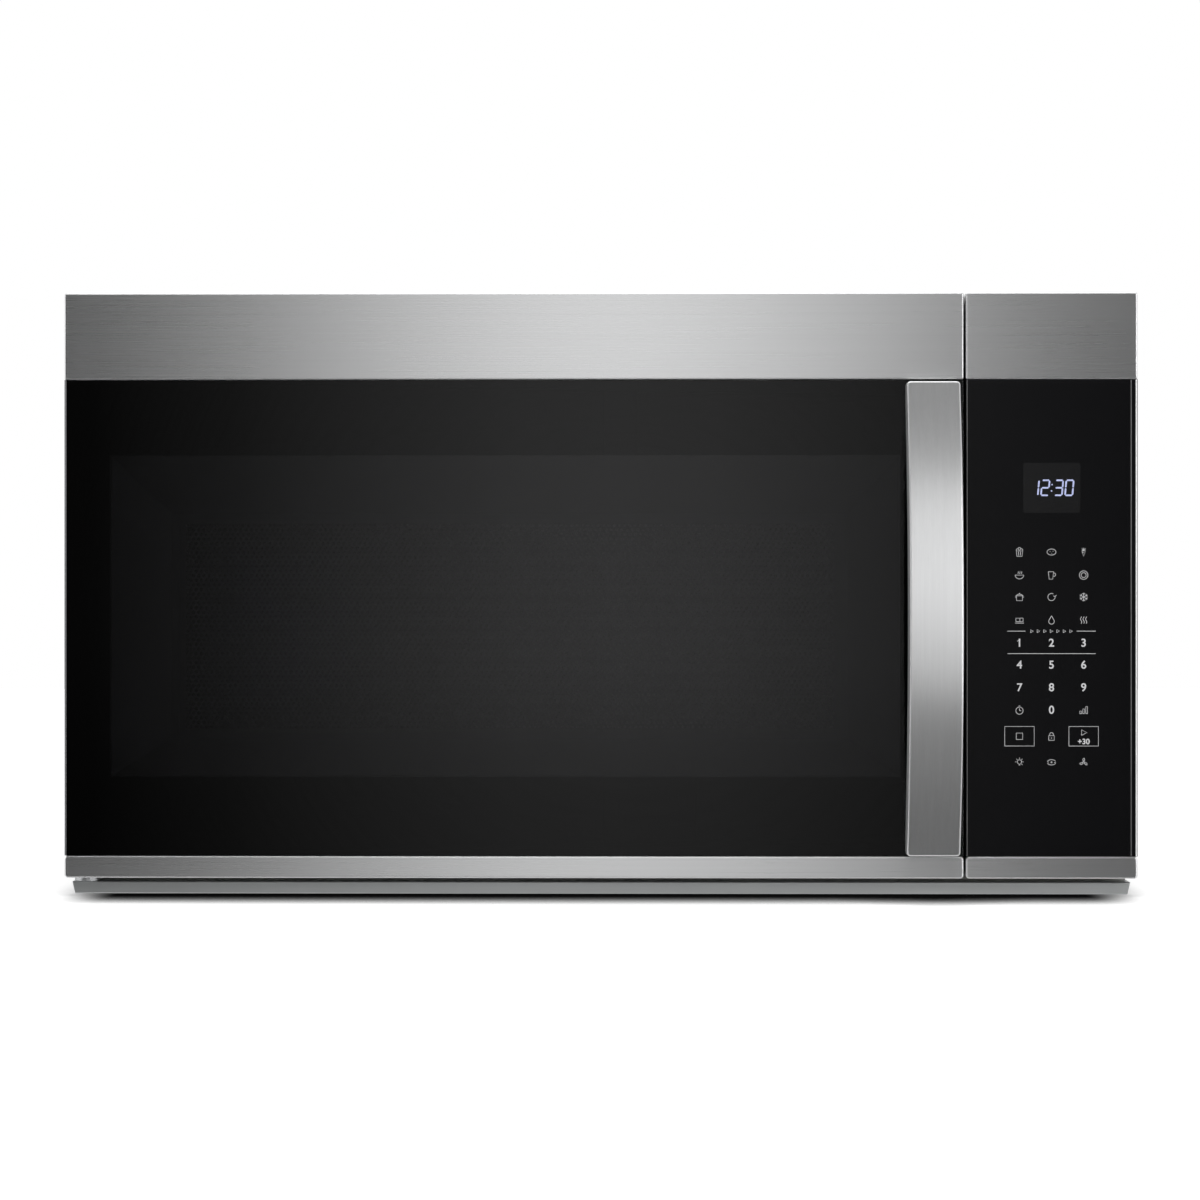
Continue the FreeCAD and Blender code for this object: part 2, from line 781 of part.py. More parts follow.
def make_vent_grille():
    """Louvred outlet that lies in the top of the case, behind the door's steel strip."""
    gap = hole_slack
    half = grille_length / 2 - gap
    y0 = cavity_front_y + gap
    y1 = chassis_y + grille_depth - gap
    bottom = case_top_z - grille_thickness
    body = box(-half, half, y0, y1, bottom, case_top_z)
    tabs = box(-half - grille_tab, half + grille_tab, y0, y1, bottom, case_ceiling_z)
    rim = (grille_depth - 2 * grille_slot_width) / 2
    middle_y = (y0 + y1) / 2
    first = -grille_slot_pitch * (grille_slot_count - 1) / 2
    slots = []
    for index in range(grille_slot_count):
        x = first + index * grille_slot_pitch
        slots.append(box(x - grille_slot_width / 2, x + grille_slot_width / 2, middle_y - rim,
                         middle_y + rim, bottom - 1, case_top_z + 1))
    return fuse([body, tabs]).cut(Part.makeCompound(slots))


def make_charcoal_filter():
    """Odour filter held under the grille."""
    z1 = case_top_z - grille_thickness
    y0 = cavity_front_y + filter_ledge
    y1 = chassis_y + grille_depth - filter_ledge
    block = box(-charcoal_length / 2, charcoal_length / 2, y0, y1, z1 - charcoal_thickness, z1)
    return fillet_where(block, charcoal_thickness / 6, lambda p, d: d.x > 0.5)


def make_grease_filter(side):
    """Aluminium rim round a mesh pad, with a finger tab."""
    x = side * filter_centre_x
    z0 = base_sheet + filter_lift
    half_x = filter_length / 2
    half_y = filter_depth / 2
    rim = box(x - half_x, x + half_x, filter_centre_y - half_y, filter_centre_y + half_y, z0,
              z0 + filter_thickness)
    rim = fillet_where(rim, filter_rim / 2, lambda p, d: d.z > 0.5)
    inner_x = half_x - filter_rim
    inner_y = half_y - filter_rim
    hole = box(x - inner_x, x + inner_x, filter_centre_y - inner_y, filter_centre_y + inner_y,
               z0 - 1, z0 + filter_thickness + 1)
    pad_z = z0 + (filter_thickness - filter_pad_thickness) / 2
    pad = box(x - inner_x, x + inner_x, filter_centre_y - inner_y, filter_centre_y + inner_y, pad_z,
              pad_z + filter_pad_thickness)
    tab_x = x - side * (inner_x - 2 * filter_rim)
    tab = box(tab_x - filter_rim, tab_x + filter_rim, filter_centre_y - 2 * filter_rim,
              filter_centre_y + 2 * filter_rim, z0, pad_z)
    tab_hole = rod(filter_rim / 2, pad_z - z0, vec(tab_x, filter_centre_y, z0))
    return [rim.cut(hole), pad, tab.cut(tab_hole)]


def make_lamp_lenses():
    """Two glass plates that lie on the base pan over its lamp openings."""
    lenses = []
    for side in (-1, 1):
        x = side * lens_centre_x
        plate = box(x - lens_length / 2, x + lens_length / 2, lens_centre_y - lens_width / 2,
                    lens_centre_y + lens_width / 2, base_sheet, base_sheet + lens_thickness)
        lenses.append(fillet_where(plate, lens_overlap / 2, lambda p, d: d.z > 0.5))
    return lenses


def make_cooktop_lamps():
    """A bulb in a socket on a foot, behind each lens."""
    axis_z = base_sheet + lens_thickness + lamp_socket_radius + lamp_lens_gap
    pieces = []
    for side in (-1, 1):
        root_x = side * (lens_centre_x + lens_length / 2 + lamp_socket_length + lamp_end_gap)
        inward = X_AXIS * -side
        base = vec(root_x, lens_centre_y, axis_z)
        socket = rod(lamp_socket_radius, lamp_socket_length, base, inward)
        foot_x = sorted((root_x, root_x - side * lamp_socket_length))
        foot = box(foot_x[0], foot_x[1], lens_centre_y - lamp_socket_radius,
                   lens_centre_y + lamp_socket_radius, base_sheet, axis_z)
        pieces.append(fuse([socket, foot]))
        pieces.append(round_bulb(base + inward * lamp_socket_length, inward, lamp_bulb_radius,
                                 lamp_bulb_length))
    return pieces


def round_bulb(base, axis, radius, length):
    """Glass envelope from its socket's mouth, with a domed far end."""
    bulb = rod(radius, length, base, axis)
    return fillet_where(bulb, radius - bulb_tip_flat,
                        lambda p, d: near((p - base).dot(axis), length) and abs(d.dot(axis)) < 0.5)


# ---- Cooking cavity and turntable ----------------------------------------------------------

def hole_grid(x0, x1, centre_y, centre_z, columns, rows):
    """Round holes through a side wall between x0 and x1."""
    holes = []
    for column in range(columns):
        for row in range(rows):
            y = centre_y + (column - (columns - 1) / 2) * vent_hole_pitch
            z = centre_z + (row - (rows - 1) / 2) * vent_hole_pitch
            holes.append(rod(vent_hole_radius, x1 - x0, vec(x0, y, z), X_AXIS))
    return holes


def make_oven_cavity():
    """Liner with rounded corners, open at the front."""
    outer = box(cavity_left_x - cavity_sheet, bay_left_x, cavity_front_y,
                cavity_back_y + cavity_sheet, cavity_floor_z - cavity_sheet, cavity_roof_z)
    inner = box(cavity_left_x, cavity_right_x, cavity_front_y - cavity_corner * 2, cavity_back_y,
                cavity_floor_z, cavity_top_z)
    outer = fillet_where(outer, cavity_corner + cavity_sheet,
                         lambda p, d: d.y > 0.5 or p.y > cavity_back_y)
    inner = fillet_where(inner, cavity_corner,
                         lambda p, d: d.y > 0.5 or near(p.y, cavity_back_y))
    cutters = [inner]
    cutters.append(rod(2 * turntable_shaft_radius, 4 * cavity_sheet,
                       vec(cavity_centre_x, cavity_centre_y, cavity_floor_z - 2 * cavity_sheet)))
    cutters.append(box(cavity_right_x - 1, bay_left_x + 1,
                       waveguide_centre_y - aperture_width / 2, waveguide_centre_y + aperture_width / 2,
                       aperture_z - aperture_height / 2, aperture_z + aperture_height / 2))
    cutters += hole_grid(cavity_right_x - 1, bay_left_x + 1, oven_lamp_y, oven_lamp_z,
                         lamp_hole_count, lamp_hole_count)
    cutters += hole_grid(cavity_left_x - 2 * cavity_sheet, cavity_left_x + 1, cavity_centre_y,
                         oven_lamp_z, outlet_hole_columns, outlet_hole_rows)
    return outer.cut(Part.makeCompound(cutters))


def make_waveguide_cover():
    """Mica sheet over the aperture, inside the cavity."""
    margin = 2 * cavity_corner
    return box(cavity_right_x - mica_thickness, cavity_right_x,
               waveguide_centre_y - aperture_width / 2 - margin,
               waveguide_centre_y + aperture_width / 2 + margin,
               aperture_z - aperture_height / 2 - margin, aperture_z + aperture_height / 2 + margin)


def make_turntable_motor():
    """Flat geared motor under the cavity floor, with two screw ears and a terminal block."""
    top = vec(cavity_centre_x, cavity_centre_y, cavity_floor_z - cavity_sheet)
    body = rod(motor_disc_radius, motor_disc_height, top - vec(0, 0, motor_disc_height))
    reach = motor_disc_radius + motor_ear_reach
    ears = box(top.x - reach, top.x + reach, top.y - motor_ear_width / 2, top.y + motor_ear_width / 2,
               top.z - motor_ear_sheet, top.z)
    ears = fillet_where(ears, motor_ear_width * 0.4, lambda p, d: d.z > 0.5)
    terminal = box(top.x - motor_terminal / 2, top.x + motor_terminal / 2, top.y,
                   top.y + motor_disc_radius + motor_ear_reach, top.z - 0.7 * motor_disc_height,
                   top.z - 0.2 * motor_disc_height)
    bore = rod(turntable_shaft_radius + running_clearance, motor_disc_height - shaft_seat,
               top - vec(0, 0, motor_disc_height - shaft_seat))
    return fuse([body, ears, terminal]).cut(bore)


coupler_z0 = cavity_floor_z + coupler_clearance
shaft_foot_z = cavity_floor_z - cavity_sheet - motor_disc_height + shaft_seat + shaft_end_gap
shaft_top_z = coupler_z0 + shaft_in_coupler


def make_turntable_shaft():
    """Drive shaft from the motor up into the coupler."""
    base = vec(cavity_centre_x, cavity_centre_y, shaft_foot_z)
    return rod(turntable_shaft_radius, shaft_top_z - shaft_foot_z, base)


def make_turntable_coupler():
    """Three-lobed driver that carries the tray."""
    base = vec(cavity_centre_x, cavity_centre_y, coupler_z0)
    height = tray_bottom_z - coupler_z0
    pieces = [rod(coupler_hub_radius, height, base)]
    for index in range(3):
        lobe = Part.makeBox(coupler_lobe_length, coupler_lobe_width, height,
                            base - vec(0, coupler_lobe_width / 2, 0))
        lobe = fillet_where(lobe, coupler_lobe_width / 2 * 0.9,
                            lambda p, d: d.z > 0.5 and near(p.x, base.x + coupler_lobe_length))
        lobe.rotate(base, Z_AXIS, 120 * index)
        pieces.append(lobe)
    bore = rod(turntable_shaft_radius, shaft_top_z - coupler_z0, base)
    return fuse(pieces).cut(bore)


def make_glass_tray():
    """Round plate with a raised rim."""
    inner = tray_radius - tray_rim_width
    z0 = tray_bottom_z
    z1 = z0 + tray_thickness
    z2 = z0 + tray_rim_height
    cross = [vec(0, 0, z0), vec(inner, 0, z0), vec(tray_radius, 0, z2 - tray_edge),
             vec(tray_radius, 0, z2), vec(tray_radius - tray_rim_top, 0, z2),
             vec(inner - tray_edge, 0, z1), vec(0, 0, z1)]
    tray = face_from(cross).revolve(vec(0, 0, 0), Z_AXIS, 360)
    tray = fillet_where(tray, tray_edge_radius, lambda p, d: p.z > z2 - tray_edge / 4)
    tray.translate(vec(cavity_centre_x, cavity_centre_y, 0))
    return tray


def roller_angles():
    return [90 + 360 * index / roller_count for index in range(roller_count)]


axle_start = ring_outer_radius - 2
axle_end = roller_track_radius + roller_width / 2 + roller_tray_gap


def make_roller_ring():
    """Plastic ring with three headed stub axles."""
    centre = vec(cavity_centre_x, cavity_centre_y, roller_axis_z)
    ring = pipe(ring_outer_radius, ring_inner_radius, ring_height, centre - vec(0, 0, ring_height / 2))
    ring = fillet_where(ring, 1.2, lambda p, d: True)
    pieces = [ring]
    for angle in roller_angles():
        stub = rod(axle_radius, axle_end - axle_start, centre + X_AXIS * axle_start, X_AXIS)
        head = rod(axle_head_radius, axle_head_length, centre + X_AXIS * axle_end, X_AXIS)
        axle = fuse([stub, head])
        axle.rotate(centre, Z_AXIS, angle)
        pieces.append(axle)
    return fuse(pieces)


def make_roller(angle):
    """Wheel that turns on one stub axle."""
    centre = vec(cavity_centre_x, cavity_centre_y, roller_axis_z)
    start = centre + X_AXIS * (roller_track_radius - roller_width / 2)
    wheel = pipe(roller_radius, axle_radius + running_clearance, roller_width, start, X_AXIS)
    wheel = fillet_where(wheel, 1.0, lambda p, d: abs((p - centre).z) > roller_radius - 0.5
                         or abs((p - centre).y) > roller_radius - 0.5)
    wheel.rotate(centre, Z_AXIS, angle)
    return wheel


# ---- Component bay -------------------------------------------------------------------------

shelf_top_z = shelf_z + shelf_sheet
transformer_x = bay_left_x + transformer_left_gap
transformer_back_y = fan_wall_y - transformer_fan_gap
transformer_centre_y = transformer_back_y - transformer_size[1] / 2


def make_component_shelf():
    """Deck for the high-voltage parts, on two legs."""
    deck = box(bay_left_x, bay_right_x, cavity_front_y, -rear_sheet, shelf_z, shelf_top_z)
    back_leg_y = -2 * shelf_z + leg_back_length
    front_leg_y = cavity_front_y + shelf_z / 2
    legs = [box(bay_left_x, bay_left_x + shelf_sheet, y0, y0 + length, base_sheet, shelf_z)
            for y0, length in ((back_leg_y - leg_back_length, leg_back_length),
                               (front_leg_y, leg_front_length))]
    return fuse([deck] + legs)


def make_transformer():
    """Laminated core with two windings and a foot plate."""
    sx, sy, sz = transformer_size
    x0 = transformer_x
    z0 = shelf_top_z
    y = transformer_centre_y
    core = box(x0, x0 + sx, y - core_depth / 2, y + core_depth / 2, z0 + core_foot_sheet, z0 + sz)
    foot = box(x0, x0 + sx, y - core_foot_depth / 2, y + core_foot_depth / 2, z0,
               z0 + core_foot_sheet)
    pieces = [fuse([core, foot])]
    lowest = z0 + (core_foot_sheet + sz - 2 * winding_height - winding_gap) / 2
    for z in (lowest, lowest + winding_height + winding_gap):
        for side in (-1, 1):
            y0, y1 = sorted((y + side * core_depth / 2, y + side * (core_depth / 2 + winding_reach)))
            coil = box(x0 + winding_inset, x0 + sx - winding_inset, y0, y1, z, z + winding_height)
            pieces.append(fillet_where(coil, winding_corner, lambda p, d: d.z > 0.5))
    return pieces


def make_capacitor():
    """Oval can with two terminals, and the rectifier on its post behind it."""
    sx, sy, sz = capacitor_size
    x0 = transformer_x + transformer_size[0] + capacitor_gap
    x = x0 + sx / 2
    y = transformer_centre_y
    can = box(x0, x0 + sx, y - sy / 2, y + sy / 2, shelf_top_z, shelf_top_z + sz)
    can = fillet_where(can, sx * 0.48, lambda p, d: d.z > 0.5)
    pieces = [can]
    for side in (-1, 1):
        pieces.append(rod(terminal_radius, terminal_height,
                          vec(x, y + side * terminal_spacing / 2, shelf_top_z + sz)))
    width, depth, height = rectifier_post
    post_y = y + sy / 2 + rectifier_gap
    post = box(x - width / 2, x + width / 2, post_y - depth / 2, post_y + depth / 2, shelf_top_z,
               shelf_top_z + height)
    body = rod(rectifier_radius, rectifier_length,
               vec(x - rectifier_length / 2, post_y, shelf_top_z + height + rectifier_radius), X_AXIS)
    overlap = box(x - width / 2, x + width / 2, post_y - depth / 2, post_y + depth / 2,
                  shelf_top_z + height, shelf_top_z + height + rectifier_radius)
    return pieces + [fuse([post, overlap, body])]


def make_waveguide():
    """Rectangular duct on the cavity's right wall, with the magnetron's antenna hole."""
    y0 = waveguide_centre_y - waveguide_width / 2
    y1 = waveguide_centre_y + waveguide_width / 2
    x1 = bay_left_x + waveguide_depth
    z0 = waveguide_bottom_z
    z1 = waveguide_top_z
    duct = box(bay_left_x, x1, y0, y1, z0, z1)
    inside = box(bay_left_x - 1, x1 - waveguide_sheet, y0 + waveguide_sheet, y1 - waveguide_sheet,
                 z0 + waveguide_sheet, z1 - waveguide_sheet)
    hole = rod(antenna_radius + cut_over, waveguide_sheet + 2 * cut_over,
               vec(x1 - waveguide_sheet - cut_over, waveguide_centre_y, magnetron_z), X_AXIS)
    return duct.cut(inside).cut(hole)


def make_magnetron():
    """Frame with cooling fins round the anode, antenna into the waveguide, filter box."""
    sx, sy, sz = magnetron_size
    x0 = bay_left_x + waveguide_depth
    x1 = x0 + magnetron_frame_length
    y0 = waveguide_centre_y - sy / 2
    y1 = y0 + sy
    z0 = magnetron_z - sz / 2
    z1 = z0 + sz
    plate = magnetron_plate
    frame = [box(x0, x0 + plate, y0, y1, z0, z1), box(x1 - plate, x1, y0, y1, z0, z1),
             box(x0, x1, y0, y1, z0, z0 + plate), box(x0, x1, y0, y1, z1 - plate, z1)]
    centre = vec(x0, waveguide_centre_y, magnetron_z)
    anode = rod(anode_radius, magnetron_frame_length, centre, X_AXIS)
    antenna = rod(antenna_radius, antenna_length, centre - vec(antenna_length, 0, 0), X_AXIS)
    pitch = (magnetron_frame_length - 2 * plate) / (fin_count + 1)
    starts = [x0 + plate + pitch * (i + 1) - fin_sheet / 2 for i in range(fin_count)]
    fins = [box(x, x + fin_sheet, y0 + fin_inset, y1 - fin_inset, z0 + plate, z1 - plate)
            for x in starts]
    filter_box = box(x1, x0 + sx, y0 + filter_box_inset, y1 - filter_box_inset,
                     z0 + filter_box_inset, z1 - filter_box_inset)
    return fuse(frame + fins + [anode, antenna, filter_box])


def make_oven_lamp():
    """Bulb and holder behind the perforated patch of the cavity's right wall."""
    width, sheet = oven_lamp_bracket
    plate_x = bay_left_x + oven_lamp_from_wall
    y0 = oven_lamp_y - width / 2
    y1 = oven_lamp_y + width / 2
    z0 = oven_lamp_z - width / 2
    z1 = oven_lamp_z + width / 2
    bracket = box(plate_x, plate_x + sheet, y0, y1, z0, z1)
    arms = [box(bay_left_x, plate_x, y, y + oven_lamp_arm, z0, z1) for y in (y0, y1 - oven_lamp_arm)]
    mouth_x = plate_x + sheet - oven_socket_length + oven_socket_length / 2
    socket = rod(oven_socket_radius, oven_socket_length, vec(mouth_x, oven_lamp_y, oven_lamp_z), X_AXIS)
    bulb = round_bulb(vec(mouth_x, oven_lamp_y, oven_lamp_z), X_AXIS * -1, oven_bulb_radius,
                      oven_bulb_length)
    return [fuse([bracket, socket] + arms), bulb]


def make_thermal_cutouts():
    """Disc thermostats on the magnetron, the cavity roof and the cavity wall."""
    on_magnetron = vec(bay_left_x + waveguide_depth + magnetron_frame_length / 2, waveguide_centre_y,
                       magnetron_z + magnetron_size[2] / 2)
    on_roof = vec(cavity_centre_x, cavity_centre_y, cavity_roof_z)
    on_wall = vec(bay_left_x, waveguide_centre_y + waveguide_width,
                  cavity_floor_z + cutout_from_floor)
    discs = []
    for place, axis in ((on_magnetron, Z_AXIS), (on_roof, Z_AXIS), (on_wall, X_AXIS)):
        cap = rod(cutout_radius, cutout_height, place, axis)
        flange = rod(cutout_flange_radius, cutout_flange, place, axis)
        discs.append(fuse([cap, flange]))
    return discs


fan_wall_back_y = fan_wall_y + fan_wall_thickness
fan_blade_y = fan_wall_back_y + fan_blade_gap
fan_motor_front_y = fan_blade_y + fan_blade_depth + fan_blade_motor_gap
fan_motor_back_y = fan_motor_front_y + fan_motor_size[1]
filter_board_z = case_ceiling_z - filter_board_top_gap - filter_board_size[1]


def make_fan_shroud():
    """Bulkhead with the fan's round opening, the motor's arms and the filter board's standoffs."""
    wall = box(bay_left_x, bay_right_x, fan_wall_y, fan_wall_back_y, shelf_top_z, case_ceiling_z)
    opening = rod(fan_hole_radius, fan_wall_thickness + 2 * cut_over,
                  vec(fan_centre_x, fan_wall_y - cut_over, fan_centre_z), Y_AXIS)
    bar_height, bar_thickness = fan_arm_bar
    arm_reach = fan_hole_radius + fan_arm_gap
    back = fan_motor_back_y + bar_thickness
    pieces = [wall.cut(opening)]
    for side in (-1, 1):
        start = vec(fan_centre_x + side * arm_reach, fan_wall_back_y, fan_centre_z)
        pieces.append(rod(fan_arm_radius, back - fan_wall_back_y, start, Y_AXIS))
    pieces.append(box(fan_centre_x - arm_reach, fan_centre_x + arm_reach, fan_motor_back_y, back,
                      fan_centre_z - bar_height / 2, fan_centre_z + bar_height / 2))
    across, up = filter_board_standoff_spacing
    middle_z = filter_board_z + filter_board_size[1] / 2
    for dx in (-across / 2, across / 2):
        for dz in (-up / 2, up / 2):
            start = vec(fan_centre_x + dx, fan_wall_y - filter_board_standoff, middle_z + dz)
            pieces.append(rod(standoff_radius, filter_board_standoff, start, Y_AXIS))
    return fuse(pieces)


def make_filter_board():
    """Mains filter: board, choke, capacitor and fuse holder."""
    width, height = filter_board_size
    y1 = fan_wall_y - filter_board_standoff
    y0 = y1 - board_thickness
    z0 = filter_board_z
    board = box(fan_centre_x - width / 2, fan_centre_x + width / 2, y0, y1, z0, z0 + height)
    choke_centre = vec(fan_centre_x - width / 4, y0 - filter_choke_depth, z0 + height / 2)
    parts = [board, pipe(filter_choke_radius, filter_choke_bore, filter_choke_depth, choke_centre,
                         Y_AXIS)]
    x0 = fan_centre_x - width / 4 + filter_choke_radius + filter_part_gap
    z = z0 + 2 * filter_part_gap
    for size in (filter_capacitor_size, fuse_holder_size):
        parts.append(box(x0, x0 + size[0], y0 - size[1], y0, z, z + size[2]))
        z += size[2] + 2 * filter_part_gap
    return parts


def make_cooling_fan_motor():
    """Shaded-pole motor: laminated frame with a round bearing boss."""
    sx, sy, sz = fan_motor_size
    reach = fan_boss_reach
    frame = box(fan_centre_x - sx / 2, fan_centre_x + sx / 2, fan_motor_front_y + reach,
                fan_motor_back_y - reach, fan_centre_z - sz / 2, fan_centre_z + sz / 2)
    boss = rod(fan_boss_radius, sy, vec(fan_centre_x, fan_motor_front_y, fan_centre_z), Y_AXIS)
    bore = rod(fan_shaft_radius + running_clearance, sy - reach + shaft_end_gap,
               vec(fan_centre_x, fan_motor_front_y, fan_centre_z), Y_AXIS)
    return fuse([frame, boss]).cut(bore)


def make_cooling_fan_blade():
    """Five pitched blades on a hub, and the steel shaft."""
    centre = vec(fan_centre_x, fan_blade_y, fan_centre_z)
    root = fan_hub_radius - fan_blade_root
    sweep = rod(fan_blade_radius, 4 * fan_blade_depth, vec(0, -2 * fan_blade_depth, 0), Y_AXIS)
    pieces = [rod(fan_hub_radius, fan_blade_depth, centre, Y_AXIS)]
    for index in range(fan_blade_count):
        blade = Part.makeBox(fan_blade_radius - root, fan_blade_sheet, fan_blade_width,
                             vec(root, -fan_blade_sheet / 2, -fan_blade_width / 2))
        blade.rotate(vec(0, 0, 0), X_AXIS, fan_blade_angle)
        blade = blade.common(sweep)
        blade.translate(centre + vec(0, fan_blade_depth / 2, 0))
        blade.rotate(centre, Y_AXIS, 360 * index / fan_blade_count)
        pieces.append(blade)
    wheel = fuse(pieces).cut(rod(fan_shaft_radius, fan_blade_depth, centre, Y_AXIS))
    shaft = rod(fan_shaft_radius, fan_motor_back_y - fan_boss_reach - fan_blade_y, centre, Y_AXIS)
    return [wheel, shaft]


# ---- Vent blower ---------------------------------------------------------------------------

def scroll_outline(shrink):
    """Snail outline in the YZ plane, moved inwards by shrink."""
    radius = scroll_radius - shrink
    disc = rod(radius, 1, vec(0, blower_y, blower_z), X_AXIS)
    top = blower_z + scroll_radius - shrink
    mouth = box(0, 1, blower_y - scroll_outlet_reach - (1 if shrink else 0), blower_y,
                top - scroll_outlet_height + 2 * shrink, top)
    return fuse([disc, mouth])


def stretch_x(shape, x0, x1):
    """A unit-wide block in X stretched to lie between x0 and x1."""
    matrix = FreeCAD.Matrix()
    matrix.scale(x1 - x0, 1, 1)
    grown = shape.transformGeometry(matrix)
    grown.translate(vec(x0, 0, 0))
    return grown


def scroll_starts():
    """Left ends of the two scrolls."""
    clear = blower_motor_length / 2 + scroll_motor_gap
    return (blower_centre_x - clear - scroll_width, blower_centre_x + clear)


def make_vent_blower_housing():
    """Two snail housings on one base plate, each open at its sides and its front mouth."""
    bottom = blower_z - scroll_radius
    plate_top = cavity_roof_z + blower_plate
    x0 = scroll_starts()[0]
    x1 = scroll_starts()[1] + scroll_width
    pieces = [box(x0, x1, blower_y - scroll_radius, blower_y + scroll_radius, cavity_roof_z, plate_top)]
    for start in scroll_starts():
        outer = stretch_x(scroll_outline(0), start, start + scroll_width)
        inner = stretch_x(scroll_outline(scroll_wall), start + scroll_wall,
                          start + scroll_width - scroll_wall)
        holes = rod(inlet_radius, scroll_width + 2 * cut_over,
                    vec(start - cut_over, blower_y, blower_z), X_AXIS)
        foot = box(start, start + scroll_width, blower_y - scroll_foot_width / 2,
                   blower_y + scroll_foot_width / 2, plate_top, bottom + scroll_foot_height)
        pieces.append(fuse([outer, foot]).cut(inner).cut(holes))
    half = blower_motor_length / 2 - saddle_inset
    saddle = box(blower_centre_x - half, blower_centre_x + half, blower_y - saddle_width / 2,
                 blower_y + saddle_width / 2, plate_top,
                 blower_z - blower_motor_radius + saddle_height)
    bed = rod(blower_motor_radius, blower_motor_length,
              vec(blower_centre_x - blower_motor_length / 2, blower_y, blower_z), X_AXIS)
    return fuse(pieces + [saddle.cut(bed)])


def make_vent_blower_motor():
    """Round motor between the scrolls, with end bosses."""
    start = vec(blower_centre_x - blower_motor_length / 2, blower_y, blower_z)
    body = rod(blower_motor_radius, blower_motor_length, start, X_AXIS)
    body = fillet_where(body, blower_motor_edge, lambda p, d: d.x < 0.5)
    bore = rod(blower_shaft_radius + running_clearance, blower_motor_length, start, X_AXIS)
    return body.cut(bore)


def make_blower_wheel(start_x):
    """Forward-blade wheel: middle disc with hub, blades and two end rings."""
    centre = vec(start_x, blower_y, blower_z)
    inner = wheel_radius - wheel_blade_depth
    disc_x = start_x + wheel_width / 2
    pieces = [rod(wheel_radius, wheel_disc, vec(disc_x, blower_y, blower_z), X_AXIS),
              rod(wheel_hub_radius, wheel_hub_length,
                  vec(disc_x - wheel_hub_offset, blower_y, blower_z), X_AXIS),
              pipe(wheel_radius, inner, wheel_ring, centre, X_AXIS),
              pipe(wheel_radius, inner, wheel_ring, centre + X_AXIS * (wheel_width - wheel_ring),
                   X_AXIS)]
    sheet = wheel_blade_sheet
    for index in range(wheel_blade_count):
        blade = Part.makeBox(wheel_width, wheel_blade_depth - sheet, sheet,
                             vec(start_x, blower_y + inner + sheet / 2, blower_z - sheet / 2))
        middle_point = vec(start_x, blower_y + inner + wheel_blade_depth / 2, blower_z)
        blade.rotate(middle_point, X_AXIS, wheel_blade_angle)
        blade.rotate(centre, X_AXIS, 360 * index / wheel_blade_count)
        pieces.append(blade)
    return fuse(pieces).cut(rod(blower_shaft_radius, wheel_width, centre, X_AXIS))


def make_vent_blower_wheels():
    """Both wheels and the through shaft."""
    margin = (scroll_width - wheel_width) / 2
    starts = [start + margin for start in scroll_starts()]
    wheels = [make_blower_wheel(x) for x in starts]
    shaft = rod(blower_shaft_radius, starts[1] + wheel_width - starts[0],
                vec(starts[0], blower_y, blower_z), X_AXIS)
    return wheels + [shaft]


# ---- Door ----------------------------------------------------------------------------------

def steel_trim(x0, x1, z0, z1, corner):
    """Folded stainless cap: its edges turn back round the plastic, and stop short behind the glass."""
    cap = box(x0, x1, face_y, face_y + trim_return, z0, z1)
    cap = fillet_where(cap, corner, lambda p, d: d.y > 0.5)
    cap = fillet_where(cap, trim_edge_radius, lambda p, d: near(p.y, face_y))
    inside = box(x0 + trim_sheet, x1 - trim_sheet, face_y + trim_sheet, face_y + trim_return + 1,
                 z0 + trim_sheet, z1 - trim_sheet)
    inside = round_inner_corner(inside, corner)
    behind = box(x0 + trim_sheet, x1 - trim_sheet, glass_back_y, face_y + trim_return + 1,
                 max(z0, door_bottom_z + trim_sheet), min(z1, overall_height - trim_sheet))
    return cap.cut(inside).cut(behind)


def trim_core(x0, x1, z0, z1, corner, back_y):
    """Plastic that fills a steel trim from inside, back to back_y."""
    core = box(x0 + trim_sheet, x1 - trim_sheet, face_y + trim_sheet, back_y, z0 + trim_sheet,
               z1 - trim_sheet)
    return round_inner_corner(core, corner)


def round_inner_corner(block, corner):
    """Corners along Y that follow a trim's corner one sheet further in, where any roundness is left."""
    inner = corner - trim_sheet
    if inner > least_fillet:
        block = fillet_where(block, inner, lambda p, d: d.y > 0.5)
    return block


def glass_pane(x0, x1):
    """Pane between the steel strip and the bottom trim, with eased edges."""
    pane = box(x0, x1, face_y, glass_back_y, glass_bottom_z, glass_top_z)
    return fillet_where(pane, glass_edge_radius, lambda p, d: near(p.y, face_y))


def handle_screw_points():
    """Middle of each handle foot, on the back of the door's front wall."""
    x = (handle_x0 + handle_x1) / 2
    return [vec(x, steel_front_y, z) for z in (handle_z0 + handle_foot / 2, handle_z1 - handle_foot / 2)]


def make_door_glass():
    """Tinted pane with two holes for the handle screws."""
    pane = glass_pane(door_left, door_right)
    return pane.cut(handle_screw_holes(3 * hole_slack))


def handle_screw_holes(slack):
    """Cutter through the pane and the front wall, wider than the screws by the slack."""
    reach = steel_front_y - face_y + cut_over
    return Part.makeCompound([rod(screw_shank_radius + slack, reach + cut_over, p - vec(0, reach, 0),
                                  Y_AXIS) for p in handle_screw_points()])


def make_door_top_trim():
    return steel_trim(door_left, door_right, glass_top_z, overall_height, strip_corner_radius)


def make_door_bottom_trim():
    return steel_trim(door_left, door_right, door_bottom_z, glass_bottom_z, trim_corner_radius)


door_in_x0 = door_left + trim_sheet
door_in_x1 = door_right - trim_sheet
door_in_z0 = door_bottom_z + trim_sheet
door_in_z1 = overall_height - trim_sheet


